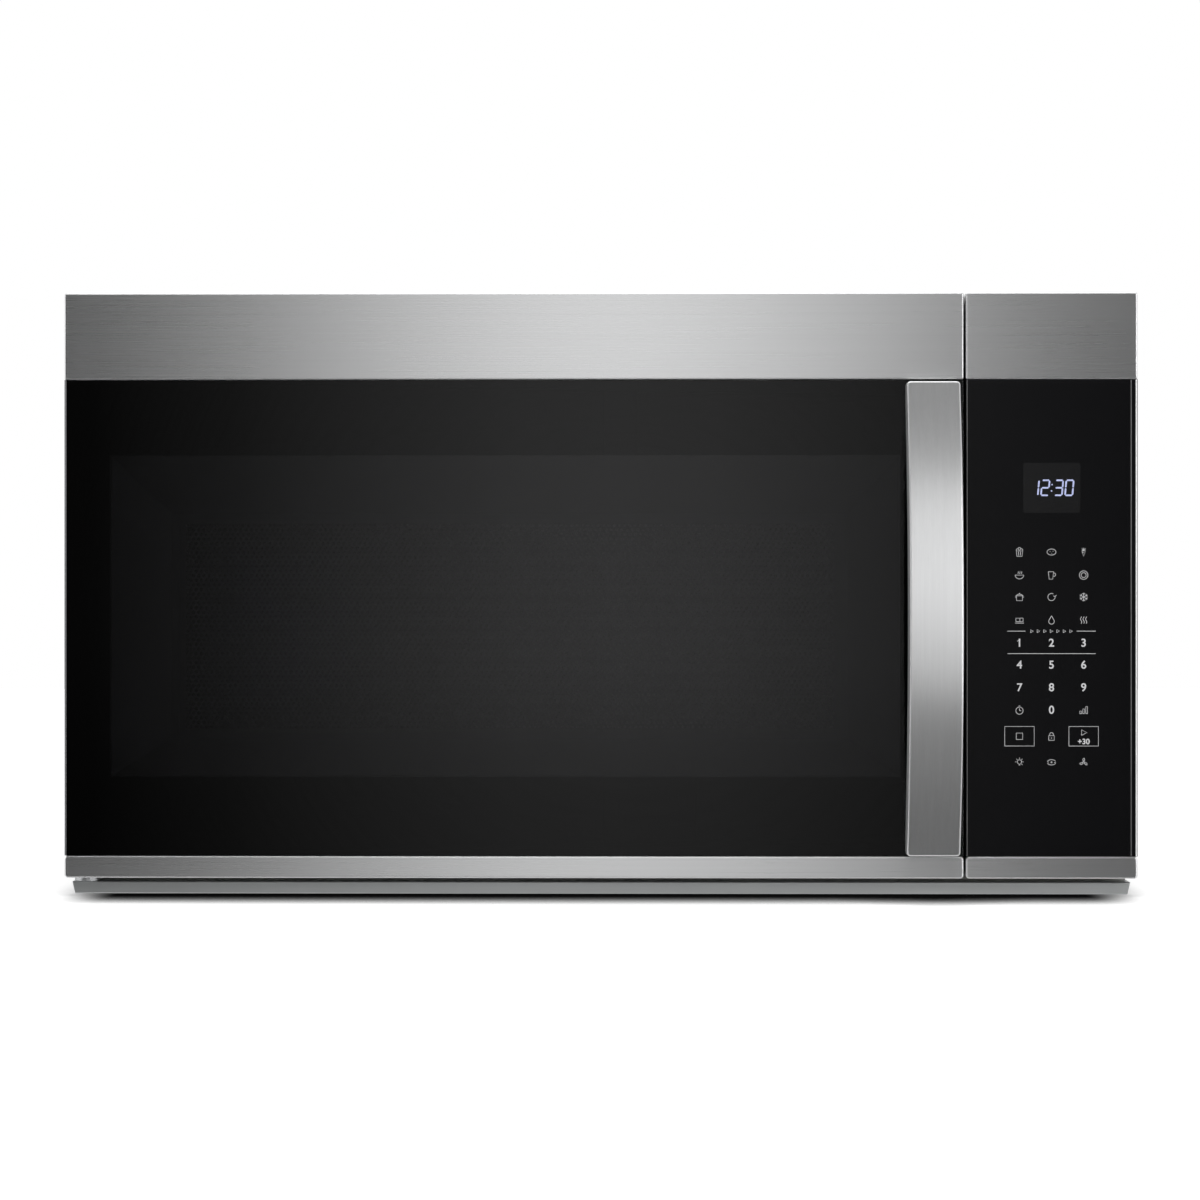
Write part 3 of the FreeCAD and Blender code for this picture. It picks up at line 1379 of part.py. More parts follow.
def hinge_notch():
    """Room in the door's top rear corner for the upper hinge plate."""
    return box(door_left - 1, hinge_x + hinge_half_width + hinge_gap,
               hinge_y - hinge_half_width - hinge_notch_front, door_back_y + 1, hinge_notch_z,
               overall_height + 1)


def pin_bores():
    """Bores for the two hinge pins."""
    radius = hinge_pin_radius + running_clearance
    depth = hinge_pin_length + 1
    low = rod(radius, depth, vec(hinge_x, hinge_y, door_in_z0))
    high = rod(radius, depth, vec(hinge_x, hinge_y, hinge_notch_z - depth))
    return [low, high]


def make_door_frame():
    """Black plastic tray behind the glass: front wall, side walls, hinge bosses, latch guides."""
    outer = box(door_in_x0, door_in_x1, glass_back_y, door_back_y, door_in_z0, door_in_z1)
    outer = fillet_where(outer, door_corner_radius,
                         lambda p, d: d.z > 0.5 and near(p.y, door_back_y) and p.x < 0)
    wall = door_side_wall
    hollow = box(door_in_x0 + wall, door_in_x1 - wall, steel_front_y, door_back_y + 1,
                 door_in_z0 + wall, door_in_z1 - wall)
    tray = outer.cut(hollow)
    cores = [trim_core(door_left, door_right, glass_top_z, overall_height, strip_corner_radius,
                       steel_front_y),
             trim_core(door_left, door_right, door_bottom_z, glass_bottom_z, trim_corner_radius,
                       steel_front_y)]
    boss_x1 = hinge_x + hinge_half_width + 2 * wall
    boss_depth = hinge_pin_length + 2 * wall
    boss_y1 = door_back_y - choke_thickness
    bosses = [box(door_in_x0 + wall, boss_x1, steel_front_y, boss_y1, door_in_z0, door_in_z0 + boss_depth),
              box(door_in_x0 + wall, boss_x1, steel_front_y, boss_y1, hinge_notch_z - boss_depth,
                  hinge_notch_z + wall)]
    frame = fuse([tray] + cores + bosses + latch_guides())
    cutters = [box(window[0], window[1], glass_back_y - 1, steel_front_y + 1, window[2], window[3]),
               hinge_notch()]
    cutters += pin_bores()
    cutters.append(handle_screw_holes(hole_slack))
    return frame.cut(Part.makeCompound(cutters))


def latch_guides():
    """Two walls beside the latch bar, the peg under its spring and the rest in front of it."""
    slot = latch_bar_width / 2 + latch_guide_gap
    pieces = []
    for side in (-1, 1):
        x0, x1 = sorted((latch_centre_x + side * slot,
                         latch_centre_x + side * (slot + latch_guide_wall)))
        pieces.append(box(x0, x1, steel_front_y, latch_bar_back_y, latch_bar_z0 + latch_guide_end,
                          latch_bar_z1 - latch_guide_end))
    reach = slot + latch_guide_wall
    peg_z = latch_bar_z0 - spring_length
    pieces.append(box(latch_centre_x - reach, latch_centre_x + reach, steel_front_y,
                      latch_bar_back_y, peg_z - spring_peg, peg_z))
    stop_z = latch_bar_z0 + latch_stop_from_end
    pieces.append(box(latch_centre_x - slot, latch_centre_x + slot, steel_front_y,
                      latch_bar_front_y - latch_guide_gap, stop_z, stop_z + latch_stop_length))
    return pieces


def funnel_block(rect_front, rect_back, y_front, y_back):
    """Straight-sided solid between two rectangles."""
    wires = []
    for rect, y in ((rect_front, y_front), (rect_back, y_back)):
        x0, x1, z0, z1 = rect
        wires.append(Part.makePolygon([vec(x0, y, z0), vec(x1, y, z0), vec(x1, y, z1),
                                       vec(x0, y, z1), vec(x0, y, z0)]))
    return Part.makeLoft(wires, True, True)


steel_wall = grow(window, inner_flange)


def make_door_inner_frame():
    """Stamped steel: flange, funnel down to the screen, and the wall back to the choke ring."""
    sheet = door_steel_sheet
    back_y = door_back_y - choke_thickness
    flange = ring_plate(steel_wall, grow(window, -sheet), steel_front_y, steel_front_y + sheet)
    wall = ring_plate(steel_wall, grow(steel_wall, -sheet), steel_front_y, back_y)
    outside = funnel_block(window, screen, steel_front_y, screen_y)
    inside = funnel_block(grow(window, -sheet), grow(screen, -sheet), steel_front_y, screen_y)
    lip = ring_plate(screen, grow(screen, -screen_lip), screen_y, screen_y + sheet)
    return fuse([flange, wall, outside.cut(inside), lip])


def make_window_screen():
    """Perforated steel sheet spot-welded to the back of the funnel's lip."""
    y0 = screen_y + door_steel_sheet
    return box(screen[0], screen[1], y0, y0 + door_steel_sheet, screen[2], screen[3])


view = grow(screen, -screen_lip)
choke_outer = (door_in_x0 + door_side_wall, door_in_x1 - door_side_wall,
               door_in_z0 + door_side_wall, door_in_z1 - door_side_wall)


def latch_slot(z, y0, y1):
    """Room for one hook and its travel."""
    half = latch_bar_width / 2 + latch_clearance
    return box(latch_centre_x - half, latch_centre_x + half, y0, y1,
               z - latch_hook_height / 2 - latch_clearance,
               z + latch_hook_height / 2 + latch_travel + latch_clearance)


def make_choke_cover():
    """Black plastic ring that closes the door's back round the inner pane."""
    y0 = door_back_y - choke_thickness
    ring = ring_plate(grow(choke_outer, -running_clearance), view, y0, door_back_y)
    ring = fillet_where(ring, choke_thickness * 0.6,
                        lambda p, d: near(p.y, door_back_y) and view[0] - 1 < p.x < view[1] + 1
                        and view[2] - 1 < p.z < view[3] + 1)
    corner_clear = box(door_in_x0 - 1, hinge_x + 3 * door_side_wall, y0 - 1, door_back_y + 1,
                       hinge_notch_z - 1, overall_height)
    slots = [latch_slot(z, y0 - 1, door_back_y + 1) for z in latch_hook_z]
    return ring.cut(Part.makeCompound(slots + [corner_clear, hinge_notch(), choke_corner_cut()]))


def choke_corner_cut():
    """Trims the ring's left edge where the door's rear corner is rounded."""
    edge = door_in_x0 + door_corner_radius
    return box(door_in_x0 - 1, edge, door_back_y - choke_thickness - 1, door_back_y + 1,
               door_bottom_z, overall_height)


def make_door_inner_glass():
    """Clear pane clamped behind the choke ring."""
    y1 = door_back_y - choke_thickness
    edge = grow(view, inner_glass_overlap)
    return box(edge[0], edge[1], y1 - inner_glass_thickness, y1, edge[2], edge[3])


def handle_side_face():
    """Side view of the bowed handle in the YZ plane at its left side."""
    middle_z = (handle_z0 + handle_z1) / 2

    def at(standoff, z):
        return vec(handle_x0, face_y - standoff, z)

    front = Part.Arc(at(handle_end_standoff, handle_z0), at(handle_mid_standoff, middle_z),
                     at(handle_end_standoff, handle_z1))
    back = Part.Arc(at(0, handle_z1 - handle_foot), at(handle_mid_clear, middle_z),
                    at(0, handle_z0 + handle_foot))
    lines = [(at(0, handle_z0), at(handle_end_standoff, handle_z0)),
             (at(handle_end_standoff, handle_z1), at(0, handle_z1)),
             (at(0, handle_z1), at(0, handle_z1 - handle_foot)),
             (at(0, handle_z0 + handle_foot), at(0, handle_z0))]
    edges = [Part.LineSegment(a, b).toShape() for a, b in lines]
    edges += [front.toShape(), back.toShape()]
    return Part.Face(Part.Wire(Part.__sortEdges__(edges)))


def make_door_handle():
    """Bowed bar with a foot at each end on the glass."""
    bar = handle_side_face().extrude(vec(handle_width, 0, 0))
    bar = fillet_where(bar, handle_corner_radius,
                       lambda p, d: d.y > 0.9 and (near(p.z, handle_z0) or near(p.z, handle_z1)))
    front = face_y - handle_end_standoff + 0.5
    bar = fillet_where(bar, handle_edge_radius, lambda p, d: p.y < front)
    holes = [rod(screw_shank_radius, screw_bite, vec(p.x, face_y - screw_bite, p.z), Y_AXIS)
             for p in handle_screw_points()]
    return bar.cut(Part.makeCompound(holes))


def make_handle_screws():
    """Two screws from inside the door into the handle's feet."""
    screws = []
    for p in handle_screw_points():
        tip_y = face_y - screw_bite
        shank = rod(screw_shank_radius, p.y - tip_y, vec(p.x, tip_y, p.z), Y_AXIS)
        head = rod(screw_head_radius, screw_head_height, p, Y_AXIS)
        head = fillet_where(head, screw_head_height * 0.5,
                            lambda q, d: near(q.y, steel_front_y + screw_head_height))
        screws.append(fuse([shank, head]))
    return screws


def hook_profile(z):
    """Side view of one hook: an arm with a ramped tooth that drops behind the catch."""
    top = z + latch_hook_height / 2
    low = z - latch_hook_height / 2
    tip_y = chassis_y + latch_hook_reach
    tooth_y = tip_y - latch_tooth_length
    foot = low - latch_tooth_depth
    return [(latch_bar_front_y, top), (tip_y - latch_tip_slope, top), (tip_y, z),
            (tip_y - latch_tip_edge, low), (tip_y - latch_tip_slope, foot),
            (tooth_y + latch_tip_edge, foot), (tooth_y, low), (latch_bar_front_y, low)]


def make_latch_hooks():
    """Sliding bar inside the door with two hooks through the back."""
    x0 = latch_centre_x - latch_bar_width / 2
    x1 = latch_centre_x + latch_bar_width / 2
    bar = box(x0, x1, latch_bar_front_y, latch_bar_back_y, latch_bar_z0, latch_bar_z1)
    pieces = [bar]
    for z in latch_hook_z:
        outline = face_from([vec(x0, y, zz) for y, zz in hook_profile(z)])
        pieces.append(outline.extrude(vec(latch_bar_width, 0, 0)))
    return fuse(pieces)


def make_latch_spring():
    """Coil spring between the peg in the door and the foot of the latch bar."""
    wire = spring_wire_radius
    z0 = latch_bar_z0 - spring_length + wire
    rise = (spring_length - 2 * wire) / spring_turns
    centre_y = (latch_bar_front_y + latch_bar_back_y) / 2

    def at(turn):
        angle = 2 * math.pi * turn
        return vec(latch_centre_x + spring_coil_radius * math.cos(angle),
                   centre_y + spring_coil_radius * math.sin(angle), z0 + rise * turn)

    arcs = []
    for quarter in range(4 * spring_turns):
        start = quarter / 4
        arcs.append(Part.Arc(at(start), at(start + 1 / 8), at(start + 1 / 4)).toShape())
    path = Part.Wire(arcs)
    tangent = path.Edges[0].tangentAt(path.Edges[0].FirstParameter)
    section = Part.Wire(Part.makeCircle(wire, at(0), tangent))
    return path.makePipeShell([section], True, False)


# ---- Hinges and catch ----------------------------------------------------------------------

def hinge_bracket(plate_z, pin_up):
    """Plate under or over the door's corner, with its pin and the flange on the face plate."""
    axis_point = vec(hinge_x, hinge_y, plate_z)
    nose = rod(hinge_half_width, hinge_plate, axis_point)
    arm = box(hinge_x - hinge_half_width, hinge_x + hinge_half_width, hinge_y, chassis_y, plate_z,
              plate_z + hinge_plate)
    sign = 1 if pin_up else -1
    start_z = plate_z + (hinge_plate if pin_up else 0)
    flange_z = sorted((plate_z + (0 if pin_up else hinge_plate),
                       plate_z + (0 if pin_up else hinge_plate) + sign * hinge_flange_height))
    flange = box(hinge_x - hinge_half_width, hinge_x - hinge_half_width + hinge_flange_width,
                 chassis_y - hinge_flange_sheet, chassis_y, flange_z[0], flange_z[1])
    reach = hinge_gap + trim_sheet if pin_up else hinge_notch_clear
    pin = rod(hinge_pin_radius, hinge_pin_length + reach, vec(hinge_x, hinge_y, start_z), Z_AXIS * sign)
    bracket = fuse([nose, arm, flange, pin])
    points = [p for p in hinge_screws if flange_z[0] < p.z < flange_z[1]]
    return bracket.cut(Part.makeCompound([rod(small_head_radius, hinge_flange_sheet, p, Y_AXIS)
                                          for p in points]))


def make_interlock_bracket():
    """Catch block behind the face plate: front flange, side plate and two catch ledges."""
    half = latch_bar_width / 2 + latch_clearance
    x0 = latch_centre_x - half - catch_wall
    x1 = latch_centre_x + half + catch_wall
    z0 = latch_bar_z0 - catch_margin
    z1 = latch_bar_z1 + catch_margin
    y0 = cavity_front_y
    pieces = [box(x0, x1 + catch_flange_width, y0, y0 + catch_wall, z0, z1),
              box(x1 - catch_wall, x1, y0, y0 + catch_depth, z0, z1)]
    tooth_front = chassis_y + latch_hook_reach - latch_tooth_length
    slots = []
    for z in latch_hook_z:
        ledge_top = z - latch_hook_height / 2 - latch_guide_gap
        pieces.append(box(x0, x1, y0, tooth_front - catch_play, ledge_top - catch_ledge, ledge_top))
        slots.append(box(latch_centre_x - half, latch_centre_x + half, y0 - cut_over,
                         y0 + catch_wall + cut_over, ledge_top,
                         z + latch_hook_height / 2 + latch_travel + latch_clearance))
    return fuse(pieces).cut(Part.makeCompound(slots))


def make_door_switches():
    """Three microswitches on the catch block's side plate."""
    x0 = latch_centre_x + latch_bar_width / 2 + latch_clearance + catch_wall
    x = x0 + switch_width / 2
    y0 = cavity_front_y + catch_wall + switch_setback
    y = y0 + plunger_from_front
    switches = []
    for z in (latch_hook_z[0], sum(latch_hook_z) / 2, latch_hook_z[1]):
        top = z + switch_height / 2
        body = box(x0, x0 + switch_width, y0, y0 + switch_length, z - switch_height / 2, top)
        plunger = box(x - plunger_width / 2, x + plunger_width / 2, y, y + plunger_length, top,
                      top + plunger_height)
        switches.append(fuse([body, plunger]))
    return switches


# ---- Control panel -------------------------------------------------------------------------

def make_panel_glass():
    return glass_pane(panel_left, panel_right)


def make_panel_top_trim():
    return steel_trim(panel_left, panel_right, glass_top_z, overall_height, strip_corner_radius)


def make_panel_bottom_trim():
    return steel_trim(panel_left, panel_right, door_bottom_z, glass_bottom_z, trim_corner_radius)


board_y = glass_back_y + panel_front_wall + display_depth


def make_panel_frame():
    """Plastic box behind the touch glass, open at the back, with board standoffs."""
    x0 = panel_left + trim_sheet
    x1 = panel_right - trim_sheet
    back = box(x0, x1, glass_back_y, chassis_y, door_in_z0, door_in_z1)
    wall = panel_side_wall
    hollow = box(x0 + wall, x1 - wall, glass_back_y + panel_front_wall, chassis_y + 1,
                 door_in_z0 + wall, door_in_z1 - wall)
    front_y = glass_back_y + panel_front_wall
    cores = [trim_core(panel_left, panel_right, glass_top_z, overall_height, strip_corner_radius,
                       front_y),
             trim_core(panel_left, panel_right, door_bottom_z, glass_bottom_z, trim_corner_radius,
                       front_y)]
    posts = [rod(standoff_radius, display_depth,
                 vec(panel_centre_x + side * (board_width / 2 - standoff_inset), front_y, z), Y_AXIS)
             for side in (-1, 1)
             for z in (board_bottom_z + standoff_inset,
                       board_bottom_z + board_height - standoff_inset)]
    frame = fuse([back.cut(hollow)] + cores + posts)
    return frame.cut(display_block(display_lip, glass_back_y - cut_over, front_y + cut_over))


def display_block(inset, y0, y1):
    """Block of the display's outline, moved in by the inset, between two depths."""
    half_x = display_width / 2 - inset
    half_z = display_height / 2 - inset
    return box(panel_centre_x - half_x, panel_centre_x + half_x, y0, y1, display_centre_z - half_z,
               display_centre_z + half_z)


def make_display_module():
    """Clock module: housing against the front wall, lit face in its window."""
    front_y = glass_back_y + panel_front_wall
    return fuse([display_block(0, front_y, board_y),
                 display_block(display_lip + display_fit, glass_back_y, front_y)])


def make_control_board():
    """Circuit board with relays, a small transformer and a connector."""
    x0 = panel_centre_x - board_width / 2
    back = board_y + board_thickness
    parts = [box(x0, x0 + board_width, board_y, back, board_bottom_z, board_bottom_z + board_height)]

    def mounted(x, z, size):
        return box(x, x + size[0], back, back + size[1], z, z + size[2])

    z = board_bottom_z + relay_size[2]
    for index in range(relay_count):
        parts.append(mounted(x0 + board_column_gap, z + relay_pitch * index, relay_size))
    x = x0 + relay_size[0] + 2 * board_column_gap
    parts.append(mounted(x, z, board_transformer_size))
    parts.append(mounted(x, z + board_transformer_size[2] + relay_pitch, connector_size))
    return parts


# ---- Write every node ----------------------------------------------------------------------

def nodes():
    """Node name to its solid or list of solids."""
    found = {
        "outer_case": make_outer_case(),
        "rear_panel": make_rear_panel(),
        "base_pan": make_base_pan(),
        "front_frame": make_front_frame(),
        "case_screws": make_case_screws(),
        "exhaust_cover": make_exhaust_cover(),
        "top_bolt_bushes": make_top_bolt_bushes(),
        "cord_gland": make_cord_gland(),
        "vent_grille": make_vent_grille(),
        "charcoal_filter": make_charcoal_filter(),
        "grease_filter_left": make_grease_filter(-1),
        "grease_filter_right": make_grease_filter(1),
        "cooktop_lamp_lenses": make_lamp_lenses(),
        "cooktop_lamps": make_cooktop_lamps(),
        "oven_cavity": make_oven_cavity(),
        "waveguide_cover": make_waveguide_cover(),
        "turntable_motor": make_turntable_motor(),
        "turntable_shaft": make_turntable_shaft(),
        "turntable_coupler": make_turntable_coupler(),
        "glass_tray": make_glass_tray(),
        "roller_ring": make_roller_ring(),
        "component_shelf": make_component_shelf(),
        "transformer": make_transformer(),
        "capacitor": make_capacitor(),
        "waveguide": make_waveguide(),
        "magnetron": make_magnetron(),
        "oven_lamp": make_oven_lamp(),
        "thermal_cutouts": make_thermal_cutouts(),
        "fan_shroud": make_fan_shroud(),
        "filter_board": make_filter_board(),
        "cooling_fan_motor": make_cooling_fan_motor(),
        "cooling_fan_blade": make_cooling_fan_blade(),
        "vent_blower_housing": make_vent_blower_housing(),
        "vent_blower_motor": make_vent_blower_motor(),
        "vent_blower_wheels": make_vent_blower_wheels(),
        "door_glass": make_door_glass(),
        "door_top_trim": make_door_top_trim(),
        "door_bottom_trim": make_door_bottom_trim(),
        "door_frame": make_door_frame(),
        "door_inner_frame": make_door_inner_frame(),
        "window_screen": make_window_screen(),
        "choke_cover": make_choke_cover(),
        "door_inner_glass": make_door_inner_glass(),
        "door_handle": make_door_handle(),
        "handle_screws": make_handle_screws(),
        "latch_hooks": make_latch_hooks(),
        "latch_spring": make_latch_spring(),
        "hinge_upper": hinge_bracket(hinge_upper_z, False),
        "hinge_lower": hinge_bracket(hinge_lower_z, True),
        "interlock_bracket": make_interlock_bracket(),
        "door_switches": make_door_switches(),
        "panel_glass": make_panel_glass(),
        "panel_top_trim": make_panel_top_trim(),
        "panel_bottom_trim": make_panel_bottom_trim(),
        "panel_frame": make_panel_frame(),
        "display_module": make_display_module(),
        "control_board": make_control_board(),
    }
    for number, angle in enumerate(roller_angles(), start=1):
        found[f"roller_{number}"] = make_roller(angle)
    return found


os.makedirs("parts", exist_ok=True)
for name, made in nodes().items():
    shape = Part.makeCompound(made) if isinstance(made, list) else made
    shape.exportStep(f"parts/{name}.step")
    print(f"{name}: {len(shape.Solids)} solids, {shape.Volume / 1000:.2f} cm3, valid {shape.isValid()}")
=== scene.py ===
import math
import bmesh
import bpy
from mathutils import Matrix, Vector


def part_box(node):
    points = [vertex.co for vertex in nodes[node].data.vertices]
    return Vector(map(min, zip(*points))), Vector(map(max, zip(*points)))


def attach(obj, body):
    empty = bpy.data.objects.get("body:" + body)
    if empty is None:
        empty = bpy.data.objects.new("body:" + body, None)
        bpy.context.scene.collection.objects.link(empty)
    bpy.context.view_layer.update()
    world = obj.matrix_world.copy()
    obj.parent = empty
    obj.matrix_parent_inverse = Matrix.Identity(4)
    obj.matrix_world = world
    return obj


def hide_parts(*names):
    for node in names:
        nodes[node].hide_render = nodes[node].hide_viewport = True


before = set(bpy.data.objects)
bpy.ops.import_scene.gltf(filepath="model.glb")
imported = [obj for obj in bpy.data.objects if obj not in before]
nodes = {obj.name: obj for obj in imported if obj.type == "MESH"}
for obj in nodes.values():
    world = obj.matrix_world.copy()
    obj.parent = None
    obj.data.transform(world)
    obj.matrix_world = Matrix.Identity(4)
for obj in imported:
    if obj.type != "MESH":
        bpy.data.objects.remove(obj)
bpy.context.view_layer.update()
mm = 0.001

# ---- Studio ---------------------------------------------------------------------------------
# A white sweep of floor under an even white sky, and a tall graded reflector behind the camera.
# The reflector is what the flat steel and glass of the front mirror: bright in the middle, dark at
# the ends. Only mirror rays see it, so it lights nothing and hides nothing.


def node(tree, kind, settings=(), **inputs):
    """A shader node. settings are its own properties. An input is a number, a colour or a socket to
    link, named as in Blender with _ for a space, or by its number as n0, n1, n2."""
    made = tree.nodes.new(kind)
    for name, value in dict(settings).items():
        setattr(made, name, value)
    for name, value in inputs.items():
        key = int(name[1:]) if name[0] == "n" and name[1:].isdigit() else name.replace("_", " ")
        target = made.inputs[key]
        if isinstance(value, bpy.types.NodeSocket):
            tree.links.new(value, target)
        else:
            target.default_value = value
    return made


def math_node(tree, operation, *values):
    """One value from a sum, product or other operation."""
    return node(tree, "ShaderNodeMath", {"operation": operation},
                **{f"n{i}": value for i, value in enumerate(values)}).outputs[0]


def ramp(tree, factor, stops, interpolation="LINEAR"):
    """A colour ramp through the stops (place, colour or grey level)."""
    made = node(tree, "ShaderNodeValToRGB", n0=factor)
    made.color_ramp.interpolation = interpolation
    points = made.color_ramp.elements
    while len(points) < len(stops):
        points.new(0.5)
    for point, (place, colour) in zip(points, stops):
        point.position = place
        grey = isinstance(colour, (int, float))
        point.color = (colour, colour, colour, 1) if grey else (*colour, 1)
    return made.outputs["Color"]


def spread(tree, value, low, high, to_low, to_high, how="LINEAR"):
    """A value moved from one range to another, held at its ends."""
    return node(tree, "ShaderNodeMapRange", {"interpolation_type": how}, n0=value, n1=low, n2=high,
                n3=to_low, n4=to_high).outputs[0]


def mix_value(tree, share, first, second):
    """One value moved towards another by a share."""
    return node(tree, "ShaderNodeMix", n0=share, n2=first, n3=second).outputs[0]


def mix_colour(tree, share, first, second, blend="MIX"):
    """One colour moved towards another by a share, or multiplied by it."""
    return node(tree, "ShaderNodeMix", {"data_type": "RGBA", "blend_type": blend}, n0=share,
                n6=first, n7=second).outputs[2]


def product(tree, *values):
    """The product of two values."""
    return math_node(tree, "MULTIPLY", *values)


def object_place(tree):
    """The place on the object, in metres."""
    return node(tree, "ShaderNodeTexCoord").outputs["Object"]


def new_material(name):
    """An empty material: its tree and its output node."""
    material = bpy.data.materials.new(name)
    material.use_nodes = True
    tree = material.node_tree
    tree.nodes.clear()
    return material, tree, tree.nodes.new("ShaderNodeOutputMaterial")


def mesh_object(name, points, faces, material, body):
    """A piece from its corner points in metres and its faces."""
    mesh = bpy.data.meshes.new(name)
    mesh.from_pydata([tuple(p) for p in points], [], faces)
    mesh.validate()
    made = bpy.data.objects.new(name, mesh)
    bpy.context.scene.collection.objects.link(made)
    mesh.materials.append(material)
    if body:
        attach(made, body)
    return made


white = (1, 1, 1, 1)
sky_light = 0.8
sky_seen = 1.0
sky_up = ((0.0, 0.20), (0.30, 0.34), (0.46, 0.62), (0.60, 1.0))   # seen in metal that faces back
sky_turn = 0.3                # over which the sky behind takes over from the sky in front
world = bpy.data.worlds.new("studio_sky")
bpy.context.scene.world = world
world.use_nodes = True
sky = world.node_tree
sky.nodes.clear()
rays = node(sky, "ShaderNodeLightPath")
seen = math_node(sky, "MAXIMUM", rays.outputs["Is Camera Ray"],
                 math_node(sky, "MAXIMUM", rays.outputs["Is Glossy Ray"],
                           rays.outputs["Is Transmission Ray"]))
way = node(sky, "ShaderNodeSeparateXYZ",
           Vector=node(sky, "ShaderNodeTexCoord").outputs["Generated"])
low_shade = ramp(sky, spread(sky, way.outputs["Z"], -1.0, 1.0, 0.0, 1.0), sky_up)
behind = product(sky, spread(sky, way.outputs["Y"], 0.0, sky_turn, 0.0, 1.0, "SMOOTHSTEP"),
                 rays.outputs["Is Glossy Ray"])
level = product(sky, mix_value(sky, behind, 1.0, low_shade),
                mix_value(sky, seen, sky_light, sky_seen))
background = node(sky, "ShaderNodeBackground", Color=white, Strength=level)
node(sky, "ShaderNodeOutputWorld", Surface=background.outputs[0])

floor_size = 9.0
floor_colour = (0.93, 0.93, 0.93)
floor_lift = 0.50             # keeps the floor white to the camera, outside the contact shadow
contact_reach = 0.062         # how far the contact shadow runs out from the object
contact_ends = (0.345, 0.40)  # where it fades out beside the object, from the middle
under_reach = 0.02            # light gets to the underside where it comes this near to the floor
contact_shade = ((0.50, 0.004), (0.68, 0.09), (0.80, 0.31), (0.92, 0.62), (0.985, 0.9), (1.0, 1.0))
material, tree, output = new_material("studio_floor")
rays = node(tree, "ShaderNodeLightPath")
near = node(tree, "ShaderNodeAmbientOcclusion", {"samples": 16}, Distance=contact_reach)
beside = math_node(tree, "ABSOLUTE", node(
    tree, "ShaderNodeSeparateXYZ",
    Vector=node(tree, "ShaderNodeNewGeometry").outputs["Position"]).outputs["X"])
open_side = spread(tree, beside, *contact_ends, 0.0, 1.0, "SMOOTHSTEP")
shade = mix_colour(tree, open_side, ramp(tree, near.outputs["AO"], contact_shade), white)
toned = mix_colour(tree, rays.outputs["Is Camera Ray"], white, shade)
paper = node(tree, "ShaderNodeBsdfDiffuse",
             Color=mix_colour(tree, 1.0, (*floor_colour, 1), toned, "MULTIPLY"))
lift = node(tree, "ShaderNodeEmission", Color=shade,
            Strength=product(tree, rays.outputs["Is Camera Ray"], floor_lift))
lifted = node(tree, "ShaderNodeAddShader", n0=paper.outputs[0], n1=lift.outputs[0])
clear = node(tree, "ShaderNodeBsdfTransparent")
from_below = node(tree, "ShaderNodeNewGeometry").outputs["Backfacing"]
close_by = product(tree, math_node(tree, "LESS_THAN", rays.outputs["Ray Length"], under_reach),
                   math_node(tree, "SUBTRACT", 1.0, rays.outputs["Is Camera Ray"]))
open_under = math_node(tree, "MAXIMUM", from_below, close_by)
mix = node(tree, "ShaderNodeMixShader",
           n0=math_node(tree, "MAXIMUM", rays.outputs["Is Glossy Ray"], open_under),
           n1=lifted.outputs[0], n2=clear.outputs[0])
tree.links.new(mix.outputs[0], output.inputs["Surface"])
half = floor_size / 2
floor_z = -0.0003             # just clear of the base
floor = mesh_object("studio_floor", [(-half, -half, floor_z), (half, -half, floor_z),
                                     (half, half, floor_z), (-half, half, floor_z)],
                    [(0, 1, 2, 3)], material, None)

reflector_y = -2.62
reflector_half = 2.6
reflector_low = -3.0
reflector_high = 4.0
reflector_across = ((0.0, 1.0), (0.054, 0.92), (0.131, 0.63), (0.219, 0.265), (0.296, 0.08),
                    (0.40, 0.05), (0.7, 0.04), (1.0, 0.06))
reflector_up = ((0.0, 0.04), (0.157, 0.08), (0.266, 0.22), (0.331, 0.40), (0.389, 0.54),
                (0.4175, 0.66), (0.446, 0.93), (0.498, 1.0), (0.562, 0.82), (0.691, 0.58),
                (0.80, 0.50), (1.0, 0.45))
material, tree, output = new_material("studio_reflector")
place = node(tree, "ShaderNodeSeparateXYZ",
             Vector=node(tree, "ShaderNodeNewGeometry").outputs["Position"])
across = math_node(tree, "DIVIDE", math_node(tree, "ABSOLUTE", place.outputs["X"]), reflector_half)
up = math_node(tree, "DIVIDE", math_node(tree, "SUBTRACT", place.outputs["Z"], reflector_low),
               reflector_high - reflector_low)
glow = product(tree, ramp(tree, across, reflector_across), ramp(tree, up, reflector_up))
rays = node(tree, "ShaderNodeLightPath")
mix = node(tree, "ShaderNodeMixShader", n0=rays.outputs["Is Glossy Ray"],
           n1=node(tree, "ShaderNodeBsdfTransparent").outputs[0],
           n2=node(tree, "ShaderNodeEmission", Color=white, Strength=glow).outputs[0])
tree.links.new(mix.outputs[0], output.inputs["Surface"])
material.cycles.emission_sampling = "NONE"
reflector = mesh_object("studio_reflector",
                        [(-reflector_half, reflector_y, reflector_low),
                         (reflector_half, reflector_y, reflector_low),
                         (reflector_half, reflector_y, reflector_high),
                         (-reflector_half, reflector_y, reflector_high)], [(0, 1, 2, 3)], material,
                        None)


def softbox(name, place, target, size, power):
    """An area lamp of a width and a height, aimed at a point."""
    lamp = bpy.data.lights.new(name, "AREA")
    lamp.shape = "RECTANGLE"
    lamp.size, lamp.size_y = size
    lamp.energy = power
    made = bpy.data.objects.new(name, lamp)
    made.location = place
    made.rotation_euler = (Vector(target) - Vector(place)).to_track_quat("-Z", "Y").to_euler()
    bpy.context.scene.collection.objects.link(made)
    return made


